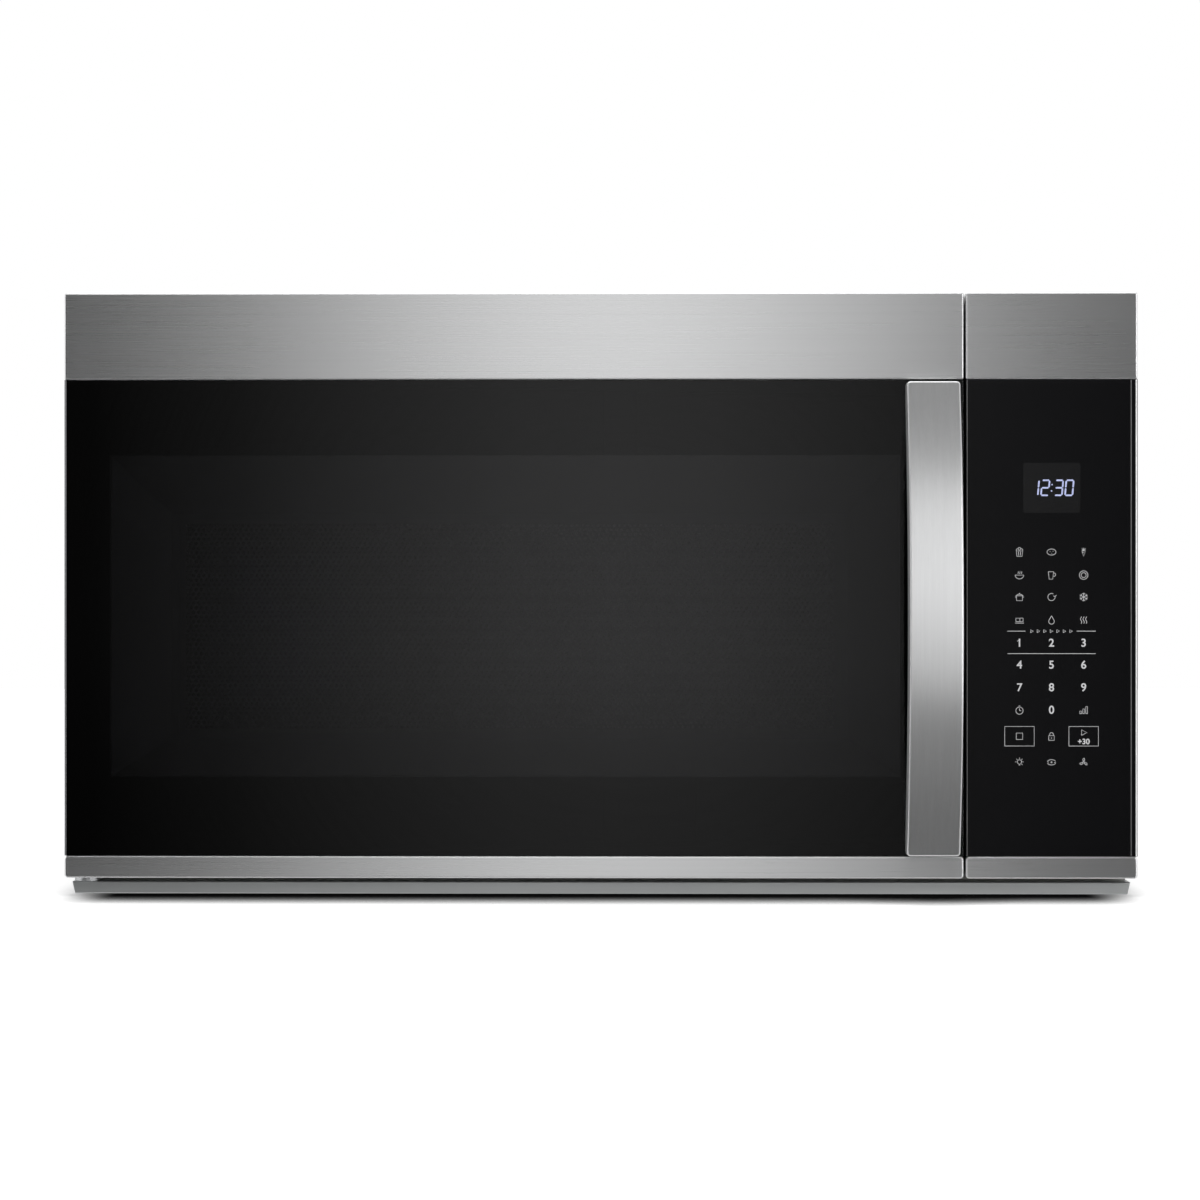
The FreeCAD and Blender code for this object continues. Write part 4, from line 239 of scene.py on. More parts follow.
softbox("overhead_softbox", (0.0, -0.9, 2.4), (0, -0.4, 0.2), (1.6, 1.6), 12)
softbox("side_softbox", (1.45, -2.45, 0.37), (0.24, -0.4, 0.22), (0.5, 1.45), 11.2)

camera_distance = 2.1         # to the glass
camera_height = 0.210
camera_aside = 0.023
front_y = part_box("door_glass")[0].y
lens = bpy.data.cameras.new("camera")
lens.lens, lens.sensor_width = 89, 36
camera = bpy.data.objects.new("camera", lens)
camera.location = (camera_aside, front_y - camera_distance, camera_height)
camera.rotation_euler = (math.pi / 2, 0, math.atan2(camera_aside, camera_distance))
bpy.context.scene.collection.objects.link(camera)
bpy.context.scene.camera = camera
bpy.context.scene.view_settings.view_transform = "Standard"

# ---- Steel strips ---------------------------------------------------------------------------
# Folded strips of brushed stainless steel along the top and the bottom of the door and the panel.
# The grain runs along each strip, and the folds are a little brighter than the faces.


def node_group(name, inputs, outputs):
    """An empty shader node group with named sockets: its tree, its inputs and its outputs."""
    group = bpy.data.node_groups.new(name, "ShaderNodeTree")
    for socket, kind, value in inputs:
        made = group.interface.new_socket(socket, in_out="INPUT", socket_type=kind)
        if value is not None:
            made.default_value = value
    for socket, kind in outputs:
        group.interface.new_socket(socket, in_out="OUTPUT", socket_type=kind)
    return group, group.nodes.new("NodeGroupInput"), group.nodes.new("NodeGroupOutput")


def noise(tree, vector, detail=3.0, rough=0.5):
    """A value of noise at a scaled place."""
    return node(tree, "ShaderNodeTexNoise", Vector=vector, Scale=1.0, Detail=detail,
                Roughness=rough).outputs["Fac"]


def scaled(tree, vector, factor):
    """A vector times a vector or a number."""
    kind = "SCALE" if isinstance(factor, (int, float)) else "MULTIPLY"
    key = "Scale" if kind == "SCALE" else "n1"
    return node(tree, "ShaderNodeVectorMath", {"operation": kind},
                n0=vector, **{key: factor}).outputs[0]


# grain: streaks or specks of a worked surface, from lines per metre along x, y and z
grain, given, made = node_group(
    "grain", [("Place", "NodeSocketVector", None),
              ("Lines", "NodeSocketVector", (500.0, 500.0, 500.0))],
    [("Fine", "NodeSocketFloat"), ("Coarse", "NodeSocketFloat")])
fine_place = node(grain, "ShaderNodeVectorMath", {"operation": "MULTIPLY"},
                  n0=given.outputs["Place"], n1=given.outputs["Lines"]).outputs[0]
grain.links.new(noise(grain, fine_place, 4.0, 0.65), made.inputs["Fine"])
grain.links.new(noise(grain, scaled(grain, fine_place, 0.16), 2.0), made.inputs["Coarse"])

# handling: soft patches of finger marks and dust, from about how many lie on a metre
handling, given, made = node_group(
    "handling", [("Place", "NodeSocketVector", None), ("Patches", "NodeSocketFloat", 6.0)],
    [("Smudge", "NodeSocketFloat"), ("Dust", "NodeSocketFloat")])
wide_place = node(handling, "ShaderNodeVectorMath", {"operation": "SCALE"},
                  n0=given.outputs["Place"], Scale=given.outputs["Patches"]).outputs[0]
cloud = noise(handling, wide_place, 5.0, 0.6)
handling.links.new(spread(handling, cloud, 0.42, 0.68, 0.0, 1.0), made.inputs["Smudge"])
speck = noise(handling, scaled(handling, wide_place, 70.0), 1.0)
handling.links.new(product(handling, spread(handling, speck, 0.66, 0.76, 0.0, 1.0),
                           spread(handling, cloud, 0.35, 0.6, 0.3, 1.0)), made.inputs["Dust"])


nearly_up = (0.02, 0.03, 1.0)   # a little off, so that no face of a strip lies square to it
fine_share = 0.6                # of fine streaks in a finish, the rest being coarse
dust_colour = (0.42, 0.40, 0.37, 1)


def finish(name, colour, rough, lines=(900, 900, 900), tone=0.05, rough_spread=0.06, bump=0.3,
           depth=0.02, smudge=0.05, dust=0.0, patches=6.0, edge=0.0, tint=None, brush=None,
           **sockets):
    """A worked surface. tone and smudge shift its colour and roughness, depth is the grain in mm,
    edge rounds its sharp edges to the light, in mm, tint is the colour of its worn places, and
    brush is level or upright, the way of the grain that the light spreads across."""
    material, tree, output = new_material(name)
    place = object_place(tree)
    marks = node(tree, "ShaderNodeGroup", {"node_tree": grain}, Place=place, Lines=lines)
    worn = node(tree, "ShaderNodeGroup", {"node_tree": handling}, Place=place, Patches=patches)
    dark = tuple(c * (1 - tone) for c in colour)
    light = tuple(min(1.0, c * (1 + tone)) for c in colour)
    streaks = math_node(tree, "ADD", product(tree, marks.outputs["Fine"], fine_share),
                        product(tree, marks.outputs["Coarse"], 1 - fine_share))
    mixed = ramp(tree, streaks, ((0.3, dark), (0.7, light)))
    touched = tint or tuple(min(1.0, c * 0.86 + 0.02) for c in colour)
    patched = mix_colour(tree, product(tree, worn.outputs["Smudge"], smudge), mixed, (*touched, 1))
    if dust:
        patched = mix_colour(tree, product(tree, worn.outputs["Dust"], dust), patched, dust_colour)
    uneven = math_node(tree, "ADD",
                       spread(tree, marks.outputs["Fine"], 0.3, 0.7, rough - rough_spread,
                              rough + rough_spread),
                       product(tree, worn.outputs["Smudge"], smudge))
    shader = node(tree, "ShaderNodeBsdfPrincipled", Base_Color=patched, Roughness=uneven, **sockets)
    if brush:
        facing = node(tree, "ShaderNodeNewGeometry").outputs["Normal"]
        across = node(tree, "ShaderNodeVectorMath", {"operation": "CROSS_PRODUCT"}, n0=facing,
                      n1=nearly_up).outputs[0]
        if brush == "level":
            across = node(tree, "ShaderNodeVectorMath", {"operation": "CROSS_PRODUCT"}, n0=across,
                          n1=facing).outputs[0]
        tree.links.new(across, shader.inputs["Tangent"])
    normal = None
    if edge:
        normal = node(tree, "ShaderNodeBevel", {"samples": 6}, Radius=edge * mm).outputs[0]
    if bump:
        made = node(tree, "ShaderNodeBump", Strength=bump, Distance=depth * mm,
                    Height=marks.outputs["Fine"])
        if normal:
            tree.links.new(normal, made.inputs["Normal"])
        normal = made.outputs[0]
    if normal:
        tree.links.new(normal, shader.inputs["Normal"])
    tree.links.new(shader.outputs[0], output.inputs["Surface"])
    return material


def dress(material, *names):
    """Give CAD nodes a finish."""
    for name in names:
        slots = nodes[name].data.materials
        for i in range(len(slots)):
            slots[i] = material
        if not slots:
            slots.append(material)


strip_steel = finish("strip_steel", (0.865, 0.87, 0.875), 0.28, lines=(5, 60, 2600), tone=0.03,
                     rough_spread=0.02, bump=0.1, depth=0.005, smudge=0.02, edge=1.0,
                     brush="level", Metallic=1.0, Anisotropic=0.95)
dress(strip_steel, "door_top_trim", "door_bottom_trim", "panel_top_trim", "panel_bottom_trim")

# ---- Handle ---------------------------------------------------------------------------------
# A broad bowed bar pressed from thick stainless sheet, brushed lengthwise, its ends turned back to
# the door. Screws from inside the door hold it.
handle_steel = finish("handle_steel", (0.86, 0.865, 0.87), 0.33, lines=(2300, 900, 4), tone=0.05,
                      rough_spread=0.02, bump=0.12, depth=0.004, smudge=0.02, edge=1.2,
                      brush="upright", Metallic=1.0, Anisotropic=0.85)
dress(handle_steel, "door_handle")
screw_steel = finish("screw_steel", (0.55, 0.55, 0.54), 0.3, lines=(1500, 1500, 1500), tone=0.08,
                     smudge=0.08, edge=0.2, Metallic=1.0)
dress(screw_steel, "handle_screws", "case_screws")

# ---- Door glass -----------------------------------------------------------------------------
# One smoke-tinted pane over the whole door between the strips. The painted frame behind it reads
# as black, and the window opening shows through it.


def pane(name, colour, rough, ior, bump=0.02, bright=False, **sockets):
    """Polished glass with faint finger marks. bright lets the light through to what is behind."""
    material, tree, output = new_material(name)
    place = object_place(tree)
    worn = node(tree, "ShaderNodeGroup", {"node_tree": handling}, Place=place, Patches=7.0)
    film = spread(tree, worn.outputs["Smudge"], 0.0, 1.0, rough, rough + 0.03)
    wave = noise(tree, scaled(tree, place, 9.0), 1.0)
    shader = node(tree, "ShaderNodeBsdfPrincipled", Base_Color=(*colour, 1), Roughness=film,
                  IOR=ior, **sockets)
    made = node(tree, "ShaderNodeBump", Strength=bump, Distance=0.02 * mm, Height=wave)
    tree.links.new(made.outputs[0], shader.inputs["Normal"])
    surface = shader
    if bright:
        rays = node(tree, "ShaderNodeLightPath")
        surface = node(tree, "ShaderNodeMixShader",
                       n0=math_node(tree, "MAXIMUM", rays.outputs["Is Shadow Ray"],
                                    rays.outputs["Is Diffuse Ray"]),
                       n1=shader.outputs[0], n2=node(tree, "ShaderNodeBsdfTransparent").outputs[0])
    tree.links.new(surface.outputs[0], output.inputs["Surface"])
    return material


glass_ior = 1.38
tinted_glass = pane("tinted_glass", (0.255, 0.255, 0.265), 0.012, glass_ior,
                    Transmission_Weight=1.0)
dress(tinted_glass, "door_glass")

# ---- Control panel --------------------------------------------------------------------------
# The same glass, printed solid black behind, over the touch keypad. The keys are light grey marks:
# plain digits and pictograms of what each key does. The clock glows through a smoked window.
black_glass = pane("black_glass", (0.0045, 0.0045, 0.005), 0.014, 1.28)
dress(black_glass, "panel_glass")

# ---- Keypad print and clock -----------------------------------------------------------------
# Screen-printed keys on the panel glass: plain digits in Blender's own font, and pictograms as fine
# lines. The clock is a lit seven-segment display behind a small smoked window.
print_ink = finish("print_ink", (0.60, 0.60, 0.61), 0.5, lines=(3000, 3000, 3000), tone=0.10,
                   smudge=0.1, bump=0.1)
glass_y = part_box("panel_glass")[0].y
column_x = (296.5, 319.1, 341.8)
icon_half = 3.0               # half the height of a pictogram, mm
upper_rule, lower_rule = 188.0, 172.1
rule_left, rule_right = 288.0, 350.3
quick_pitch, quick_size = 4.6, 0.62
box_half, box_low, box_high = 10.4, 106.8, 120.6
figure_rows = (179.5, 164.0, 148.0, 132.1)
digit_size = 7.9
ink_width = 0.40
ink_height = 0.08


def arc(x, y, radius, start, end, steps=14, tall=1.0):
    """Points along an arc, in degrees."""
    turn = [math.radians(start + (end - start) * i / steps) for i in range(steps + 1)]
    return [(x + radius * math.cos(a), y + radius * tall * math.sin(a)) for a in turn]


def ring(x, y, radius, tall=1.0):
    """Points round a circle or an oval."""
    return arc(x, y, radius, 0, 360, 20, tall)


def rect(x0, y0, x1, y1):
    """The corners of a box, back to the first."""
    return [(x0, y0), (x1, y0), (x1, y1), (x0, y1), (x0, y0)]


def wave(x):
    """A rising wisp of heat."""
    return [(x + 0.16 * math.sin(i * 0.9), -0.8 + i * 0.2) for i in range(9)]


def spokes(count, inner, outer, x=0.0, y=0.0, start=90.0):
    """Short lines out from a point, evenly turned."""
    turns = [math.radians(start + 360 * i / count) for i in range(count)]
    return [[(x + inner * math.cos(a), y + inner * math.sin(a)),
             (x + outer * math.cos(a), y + outer * math.sin(a))] for a in turns]


def leaf(angle):
    """One fan blade, as a loop out from the hub."""
    loop = [(0.22 + 0.78 * t / 6, 0.34 * math.sin(math.pi * t / 6)) for t in range(7)]
    loop += [(0.22 + 0.78 * t / 6, -0.12 * math.sin(math.pi * t / 6)) for t in range(6, -1, -1)]
    c, s = math.cos(math.radians(angle)), math.sin(math.radians(angle))
    return [(x * c - y * s, x * s + y * c) for x, y in loop]


bulb_rays = spokes(8, 0.7, 1.0, 0, 0.1, 90)
pictograms = {
    "corn_bag": [[(-0.6, -1), (0.6, -1), (0.75, 0.25), (-0.75, 0.25), (-0.6, -1)],
                 arc(-0.45, 0.45, 0.32, -20, 220), arc(0.45, 0.45, 0.32, -40, 200),
                 arc(0, 0.72, 0.34, -10, 190), [(-0.2, -0.8), (-0.25, 0.1)],
                 [(0.2, -0.8), (0.25, 0.1)]],
    "potato": [ring(0, 0, 1.05, 0.68), [(-0.4, 0.1), (-0.25, 0.15)], [(0.3, 0.2), (0.45, 0.15)],
               [(0.0, -0.3), (0.15, -0.28)]],
    "carrot": [[(-0.42, 0.3), (0, -1), (0.42, 0.3), (-0.42, 0.3)], [(0, 0.3), (0, 1)],
               [(0, 0.3), (-0.45, 0.85)], [(0, 0.3), (0.45, 0.85)], [(-0.25, -0.1), (0.05, -0.1)]],
    "bowl": [arc(0, 0.0, 1.0, 180, 360, tall=0.9) + [(-1.0, 0.0)], [(-0.35, 0.3), (-0.25, 0.85)],
             [(0.05, 0.3), (0.15, 0.85)], [(0.45, 0.3), (0.55, 0.85)]],
    "cup": [[(-0.75, 0.8), (-0.55, -0.95), (0.3, -0.95), (0.5, 0.8), (-0.75, 0.8)],
            arc(0.45, 0.1, 0.5, -85, 80, tall=0.9)],
    "plate": [ring(0, 0, 1.0), ring(0, 0, 0.58)],
    "pot": [[(-0.7, 0.3), (-0.7, -0.85), (0.7, -0.85), (0.7, 0.3)], [(-0.9, 0.3), (0.9, 0.3)],
            arc(0, 0.3, 0.7, 0, 180, tall=0.5), [(-0.15, 0.85), (0.15, 0.85)],
            [(-0.7, 0), (-1.05, 0)], [(0.7, 0), (1.05, 0)]],
    "round_arrow": [arc(0, 0, 0.85, 60, 370), [(0.45, 0.25), (0.86, 0.1), (1.15, 0.45)]],
    "snowflake": spokes(6, 0.0, 1.0)
                 + [[(math.cos(a) * 0.6, math.sin(a) * 0.6),
                     (math.cos(a + b) * 0.9, math.sin(a + b) * 0.9)]
                    for a in (math.radians(90 + 60 * i) for i in range(6)) for b in (-0.35, 0.35)],
    "butter": [rect(-0.85, -0.35, 0.85, 0.45), [(0.1, -0.35), (0.1, 0.45)],
               [(-1.05, -0.7), (1.05, -0.7)]],
    "drop": [[(0, 1)] + arc(0, -0.3, 0.65, 30, -210) + [(0, 1)]],
    "warmth": [wave(-0.6), wave(0), wave(0.6)],
    "timer": [ring(0, -0.1, 0.85), [(0, -0.1), (0, 0.45)], [(0, -0.1), (0.38, -0.1)],
              [(-0.2, 1.0), (0.2, 1.0)]],
    "power": [rect(-0.9, -0.8, -0.5, -0.2), rect(-0.2, -0.8, 0.2, 0.3), rect(0.5, -0.8, 0.9, 0.85)],
    "stop": [rect(-0.75, -0.75, 0.75, 0.75)],
    "start": [[(-0.5, -0.65), (0.75, 0), (-0.5, 0.65), (-0.5, -0.65)]],
    "quick": [[(-0.5, -0.55), (0.55, 0), (-0.5, 0.55), (-0.5, -0.55)]],
    "padlock": [rect(-0.65, -0.95, 0.65, 0.15), [(-0.42, 0.15)] + arc(0, 0.45, 0.42, 180, 0)
                + [(0.42, 0.15)], [(0, -0.3), (0, -0.55)]],
    "bulb": [arc(0, 0.1, 0.5, -60, 240), [(-0.2, -0.45), (0.2, -0.45)],
             [(-0.16, -0.65), (0.16, -0.65)]] + [bulb_rays[i] for i in (0, 1, 2, 6, 7, 5)],
    "turntable": [arc(0, 0, 1.0, 20, 165, tall=0.62), arc(0, 0, 1.0, 200, 345, tall=0.62),
                  [(-0.72, 0.5), (-1.0, 0.12), (-0.62, 0.05)],
                  [(0.72, -0.5), (1.0, -0.12), (0.62, -0.05)],
                  ring(0, 0, 0.14)],
    "fan": [ring(0, 0, 0.2), leaf(80), leaf(200), leaf(320)]}
key_rows = ((243.9, ("corn_bag", "potato", "carrot")), (227.6, ("bowl", "cup", "plate")),
            (212.1, ("pot", "round_arrow", "snowflake")), (195.8, ("butter", "drop", "warmth")),
            (132.1, ("timer", None, "power")), (113.7, ("stop", "padlock", "start")),
            (95.3, ("bulb", "turntable", "fan")))
ink = bpy.data.curves.new("keypad_print", "CURVE")
ink.dimensions = "3D"
ink.bevel_depth = ink_width / 2 * mm
ink.bevel_resolution = 1


def draw(points, x=0.0, z=0.0, size=1.0):
    """One printed line through points in mm."""
    line = ink.splines.new("POLY")
    line.points.add(len(points) - 1)
    for spot, (u, v) in zip(line.points, points):
        spot.co = ((x + u * size) * mm, (z + v * size) * mm, 0, 1)


for z, row in key_rows:
    for x, kind in zip(column_x, row):
        for stroke in pictograms.get(kind, ()):
            draw(stroke, x, z + (2.6 if kind == "start" else 0.0), icon_half)
for place in range(-3, 4):
    for stroke in pictograms["quick"]:
        draw(stroke, column_x[1] + place * quick_pitch, upper_rule, icon_half * quick_size)
draw([(rule_left, upper_rule), (300.7, upper_rule)])
draw([(336.8, upper_rule), (rule_right, upper_rule)])
draw([(-1.5, 1.2), (0.0, 2.6)], column_x[0], figure_rows[0])
draw([(rule_left, lower_rule), (rule_right, lower_rule)])
for x in (column_x[0], column_x[2]):
    draw(rect(x - box_half, box_low, x + box_half, box_high))
printed = bpy.data.objects.new("keypad_print", ink)
printed.rotation_euler = (math.pi / 2, 0, 0)
printed.scale = (1, 1, ink_height / ink_width)
printed.location = (0, glass_y, 0)
bpy.context.scene.collection.objects.link(printed)
ink.materials.append(print_ink)
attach(printed, "chassis")

figures = [(digit, (digit - 1) % 3, figure_rows[(digit - 1) // 3]) for digit in range(1, 10)]
for label, column, z in figures + [(0, 1, figure_rows[3]), ("+30", 2, 109.8)]:
    key = f"key_{label}".replace("+", "plus_")
    figure = bpy.data.curves.new(key, "FONT")
    figure.body = str(label)
    figure.size = (digit_size if label != "+30" else 5.4) * mm
    figure.align_x = "CENTER"
    figure.align_y = "CENTER"
    figure.offset = 0.13 * mm
    figure.extrude = ink_height / 2 * mm
    figure.materials.append(print_ink)
    made = bpy.data.objects.new(key, figure)
    made.rotation_euler = (math.pi / 2, 0, 0)
    made.location = (column_x[column] * mm, glass_y - ink_height / 2 * mm, z * mm)
    bpy.context.scene.collection.objects.link(made)
    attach(made, "chassis")

# two slim aluminium beads hold the sides of the panel glass, their metal darkened as painted shade
bead_metal_painted_shade = finish("bead_metal_painted_shade", (0.12, 0.12, 0.12), 0.35, lines=(900, 900, 12), tone=0.05,
                    bump=0.1, depth=0.004, smudge=0.03, Metallic=1.0)
# a third bead along the panel's right edge is pale metal, a painted highlight
side_metal_painted_highlight = finish("side_metal_painted_highlight", (0.86, 0.86, 0.86), 0.30, lines=(900, 900, 12), tone=0.04,
                    bump=0.1, depth=0.004, smudge=0.03, Metallic=0.5)
glass_low, glass_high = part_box("panel_glass")
bead_proud = 0.25
for name, x, width, metal in (("panel_bead_left", 0.9, 0.75, bead_metal_painted_shade),
                              ("panel_bead_right", 116.6, 1.1, bead_metal_painted_shade),
                              ("panel_side_edge", 120.3, 0.9, side_metal_painted_highlight)):
    section = [(width / 2 * math.cos(math.pi * i / 6), bead_proud * math.sin(math.pi * i / 6))
               for i in range(7)]
    points = [(glass_low.x + (x + u) * mm, glass_y - v * mm, z)
              for z in (glass_low.z + 0.3 * mm, glass_high.z - 0.3 * mm) for u, v in section]
    faces = [(i, i + 1, i + 8, i + 7) for i in range(6)]
    faces += [tuple(range(6, -1, -1)), tuple(range(7, 14)), (0, 7, 13, 6)]
    mesh_object(name, points, faces, metal, "chassis")

clock_x, clock_z = 319.3, 289.3
clock_width, clock_height = 40.3, 35.4
smoked_window = pane("smoked_window", (0.0085, 0.0085, 0.009), 0.05, 1.40)
half_w, half_h, corner = clock_width / 2, clock_height / 2, 1.5
outline = []
for x, z, start in ((1, 1, 0), (-1, 1, 90), (-1, -1, 180), (1, -1, 270)):
    outline += arc(clock_x + x * (half_w - corner), clock_z + z * (half_h - corner), corner, start,
                   start + 90, 5)
count = len(outline)
sheet = 0.04
points = [(x * mm, glass_y - depth * mm, z * mm) for depth in (sheet, 0.0) for x, z in outline]
faces = [list(range(count))[::-1], list(range(count, 2 * count))]
faces += [(i, (i + 1) % count, (i + 1) % count + count, i + count) for i in range(count)]
window = mesh_object("clock_window", points, faces, smoked_window, "chassis")

material, tree, output = new_material("clock_glow")
lit = (0.55, 0.60, 0.95, 1)
flicker = noise(tree, scaled(tree, object_place(tree), 900.0), 2.0)
shader = node(tree, "ShaderNodeBsdfPrincipled", Base_Color=(0.2, 0.22, 0.3, 1), Roughness=0.4,
              Emission_Color=ramp(tree, flicker, ((0.3, (0.26, 0.29, 0.52)), (0.7, lit[:3]))),
              Emission_Strength=0.75)
tree.links.new(shader.outputs[0], output.inputs["Surface"])
segment_lit = {"0": "abcdef", "1": "bc", "2": "abged", "3": "abgcd"}
digit_w, digit_h, segment, lean = 5.2, 10.6, 1.15, 0.09
points, faces = [], []


def bar(x0, z0, x1, z1):
    """One segment: a flat bar with pointed ends, leaning with the digit."""
    dx, dz = x1 - x0, z1 - z0
    length = math.hypot(dx, dz)
    ux, uz = dx / length, dz / length
    h = segment / 2
    flat = [(h * 0.25, 0), (h * 1.1, h), (length - h * 1.1, h), (length - h * 0.25, 0),
            (length - h * 1.1, -h), (h * 1.1, -h)]
    first = len(points)
    for depth in (0.07, 0.02):
        for along, side in flat:
            x = x0 + ux * along - uz * side
            z = z0 + uz * along + ux * side
            points.append(((clock_x + x + lean * z) * mm, glass_y - (sheet + depth) * mm,
                           (clock_z + z) * mm))
    faces.append([first + i for i in range(6)][::-1])
    faces.append([first + 6 + i for i in range(6)])
    faces.extend([(first + i, first + (i + 1) % 6, first + 6 + (i + 1) % 6, first + 6 + i)
                  for i in range(6)])


for digit, left in (("1", -14.6), ("2", -7.2), ("3", 2.4), ("0", 9.8)):
    right, top, low = left + digit_w, digit_h / 2, -digit_h / 2
    ends = {"a": (left, top, right, top), "b": (right, 0, right, top), "c": (right, low, right, 0),
            "d": (left, low, right, low), "e": (left, low, left, 0), "f": (left, 0, left, top),
            "g": (left, 0, right, 0)}
    for lit_part in segment_lit[digit]:
        bar(*ends[lit_part])
for z in (-2.2, 2.2):
    bar(-0.75, z, 0.75, z)
clock = mesh_object("clock_digits", points, faces, material, "chassis")

# ---- Door frame and liner -------------------------------------------------------------------
# A pressed steel frame behind the glass, painted matt black, with a moulded black liner that hides
# the choke round the edge of the door, and a clear pane on the oven side.
frame_black = finish("frame_black", (0.010, 0.010, 0.011), 0.55, lines=(1400, 1400, 1400),
                     tone=0.12, bump=0.4, depth=0.02, smudge=0.04, edge=0.4)
dress(frame_black, "door_frame", "panel_frame")
window_slope = finish("window_slope", (0.034, 0.034, 0.035), 0.5, lines=(1200, 1200, 1200),
                      tone=0.10, bump=0.3, depth=0.02, smudge=0.04)
dress(window_slope, "door_inner_frame")
moulded_black = finish("moulded_black", (0.016, 0.016, 0.017), 0.42, lines=(1500, 1500, 1500),
                       tone=0.10, bump=0.5, depth=0.03, smudge=0.10, dust=0.05, edge=0.4)
dress(moulded_black, "choke_cover", "latch_hooks", "interlock_bracket", "cord_gland",
      "top_bolt_bushes")
clear_glass = pane("clear_glass", (0.93, 0.95, 0.94), 0.02, 1.5, Transmission_Weight=1.0)
dress(clear_glass, "door_inner_glass")
spring_steel = finish("spring_steel", (0.62, 0.62, 0.60), 0.28, lines=(900, 900, 4000), tone=0.08,
                      smudge=0.1, Metallic=1.0)
dress(spring_steel, "latch_spring", "turntable_shaft")

# ---- Window screen --------------------------------------------------------------------------
# A thin steel sheet pierced with holes in a close hexagonal pattern inside a plain border, coated
# dark grey. It keeps the microwaves in and lets the eye through.
screen_low, screen_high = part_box("window_screen")
hole_pitch = 3.8 * mm
hole_radius = 1.38 * mm
screen_border = 7.0 * mm
screen_skin = 0.08 * mm       # by which the border is thicker than the pierced field
screen_paint = finish("screen_paint", (0.020, 0.020, 0.021), 0.45, lines=(2500, 2500, 2500),
                      tone=0.1, bump=0.3, depth=0.01, smudge=0.05)
row_step = hole_pitch * math.sqrt(3) / 2
cell = hole_pitch / math.sqrt(3)
columns = int((screen_high.x - screen_low.x - 2 * screen_border) / hole_pitch - 0.5)
rows = int((screen_high.z - screen_low.z - 2 * screen_border) / row_step)
first_x = (screen_low.x + screen_high.x - (columns - 0.5) * hole_pitch) / 2
first_z = (screen_low.z + screen_high.z - (rows - 1) * row_step) / 2
turns = [math.radians(30 + 60 * i) for i in range(6)]
points, faces, known = [], [], {}
layers = ((screen_low.y + screen_skin, cell), (screen_low.y + screen_skin, hole_radius),
          (screen_high.y - screen_skin, hole_radius), (screen_high.y - screen_skin, cell))


def shared(x, y, z):
    """The index of a corner that neighbouring cells share."""
    key = (round(x * 1e5), round(y * 1e6), round(z * 1e5))
    if key not in known:
        known[key] = len(points)
        points.append((x, y, z))
    return known[key]


for row in range(rows):
    for column in range(columns):
        x = first_x + (column + 0.5 * (row % 2)) * hole_pitch
        z = first_z + row * row_step
        rings = [[shared(x + size * math.cos(a), y, z + size * math.sin(a)) for a in turns]
                 for y, size in layers]
        for a, b in zip(rings, rings[1:]):
            faces += [(a[i], a[(i + 1) % 6], b[(i + 1) % 6], b[i]) for i in range(6)]
# the plain border's inner edge runs under the outer half cells
inner = (first_x + 0.1 * hole_pitch, first_z - cell * 0.35,
         first_x + (columns - 0.6) * hole_pitch, first_z + (rows - 1) * row_step + cell * 0.35)
outer = (screen_low.x, screen_low.z, screen_high.x, screen_high.z)
first = len(points)
for y in (screen_low.y, screen_high.y):
    for x0, z0, x1, z1 in (outer, inner):
        points += [(x0, y, z0), (x1, y, z0), (x1, y, z1), (x0, y, z1)]
for i in range(4):
    j = (i + 1) % 4
    for a, b in ((0, 4), (12, 8), (4, 12), (8, 0)):
        faces.append((first + a + i, first + a + j, first + b + j, first + b + i))
screen = mesh_object("window_screen_sheet", points, faces, screen_paint, "door")
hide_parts("window_screen")

# ---- Case -----------------------------------------------------------------------------------
# Sheet steel: a wrapped outer case with a fine black powder coat, a galvanised back, a light grey
# painted front frame, and a grey coated base pan with the rail at its front edge.
case_paint = finish("case_paint", (0.032, 0.032, 0.033), 0.46, lines=(1100, 1100, 1100), tone=0.10,
                    rough_spread=0.05, bump=0.6, depth=0.05, smudge=0.04, dust=0.03, edge=0.5)
dress(case_paint, "outer_case")
galvanised = finish("galvanised", (0.60, 0.61, 0.62), 0.36, lines=(240, 240, 240), tone=0.09,
                    rough_spread=0.05, bump=0.08, depth=0.02, smudge=0.05, dust=0.03, edge=0.3,
                    Metallic=0.85)
dress(galvanised, "rear_panel", "exhaust_cover", "component_shelf", "waveguide", "hinge_upper",
      "hinge_lower", "vent_blower_housing")
frame_paint = finish("frame_paint", (0.50, 0.50, 0.475), 0.38, lines=(700, 700, 700), tone=0.03,
                     rough_spread=0.04, bump=0.3, depth=0.03, smudge=0.06, dust=0.03, edge=0.5)
dress(frame_paint, "front_frame")
rail_paint = finish("rail_paint", (0.50, 0.515, 0.515), 0.34, lines=(14, 300, 900), tone=0.04,
                    rough_spread=0.05, bump=0.2, depth=0.01, smudge=0.10, dust=0.06, edge=0.7,
                    Metallic=0.75)
dress(rail_paint, "base_pan")
grille_black = finish("grille_black", (0.014, 0.014, 0.015), 0.36, lines=(1800, 1800, 1800),
                      tone=0.1, bump=0.5, depth=0.03, smudge=0.08, dust=0.08, edge=0.4)
dress(grille_black, "vent_grille")

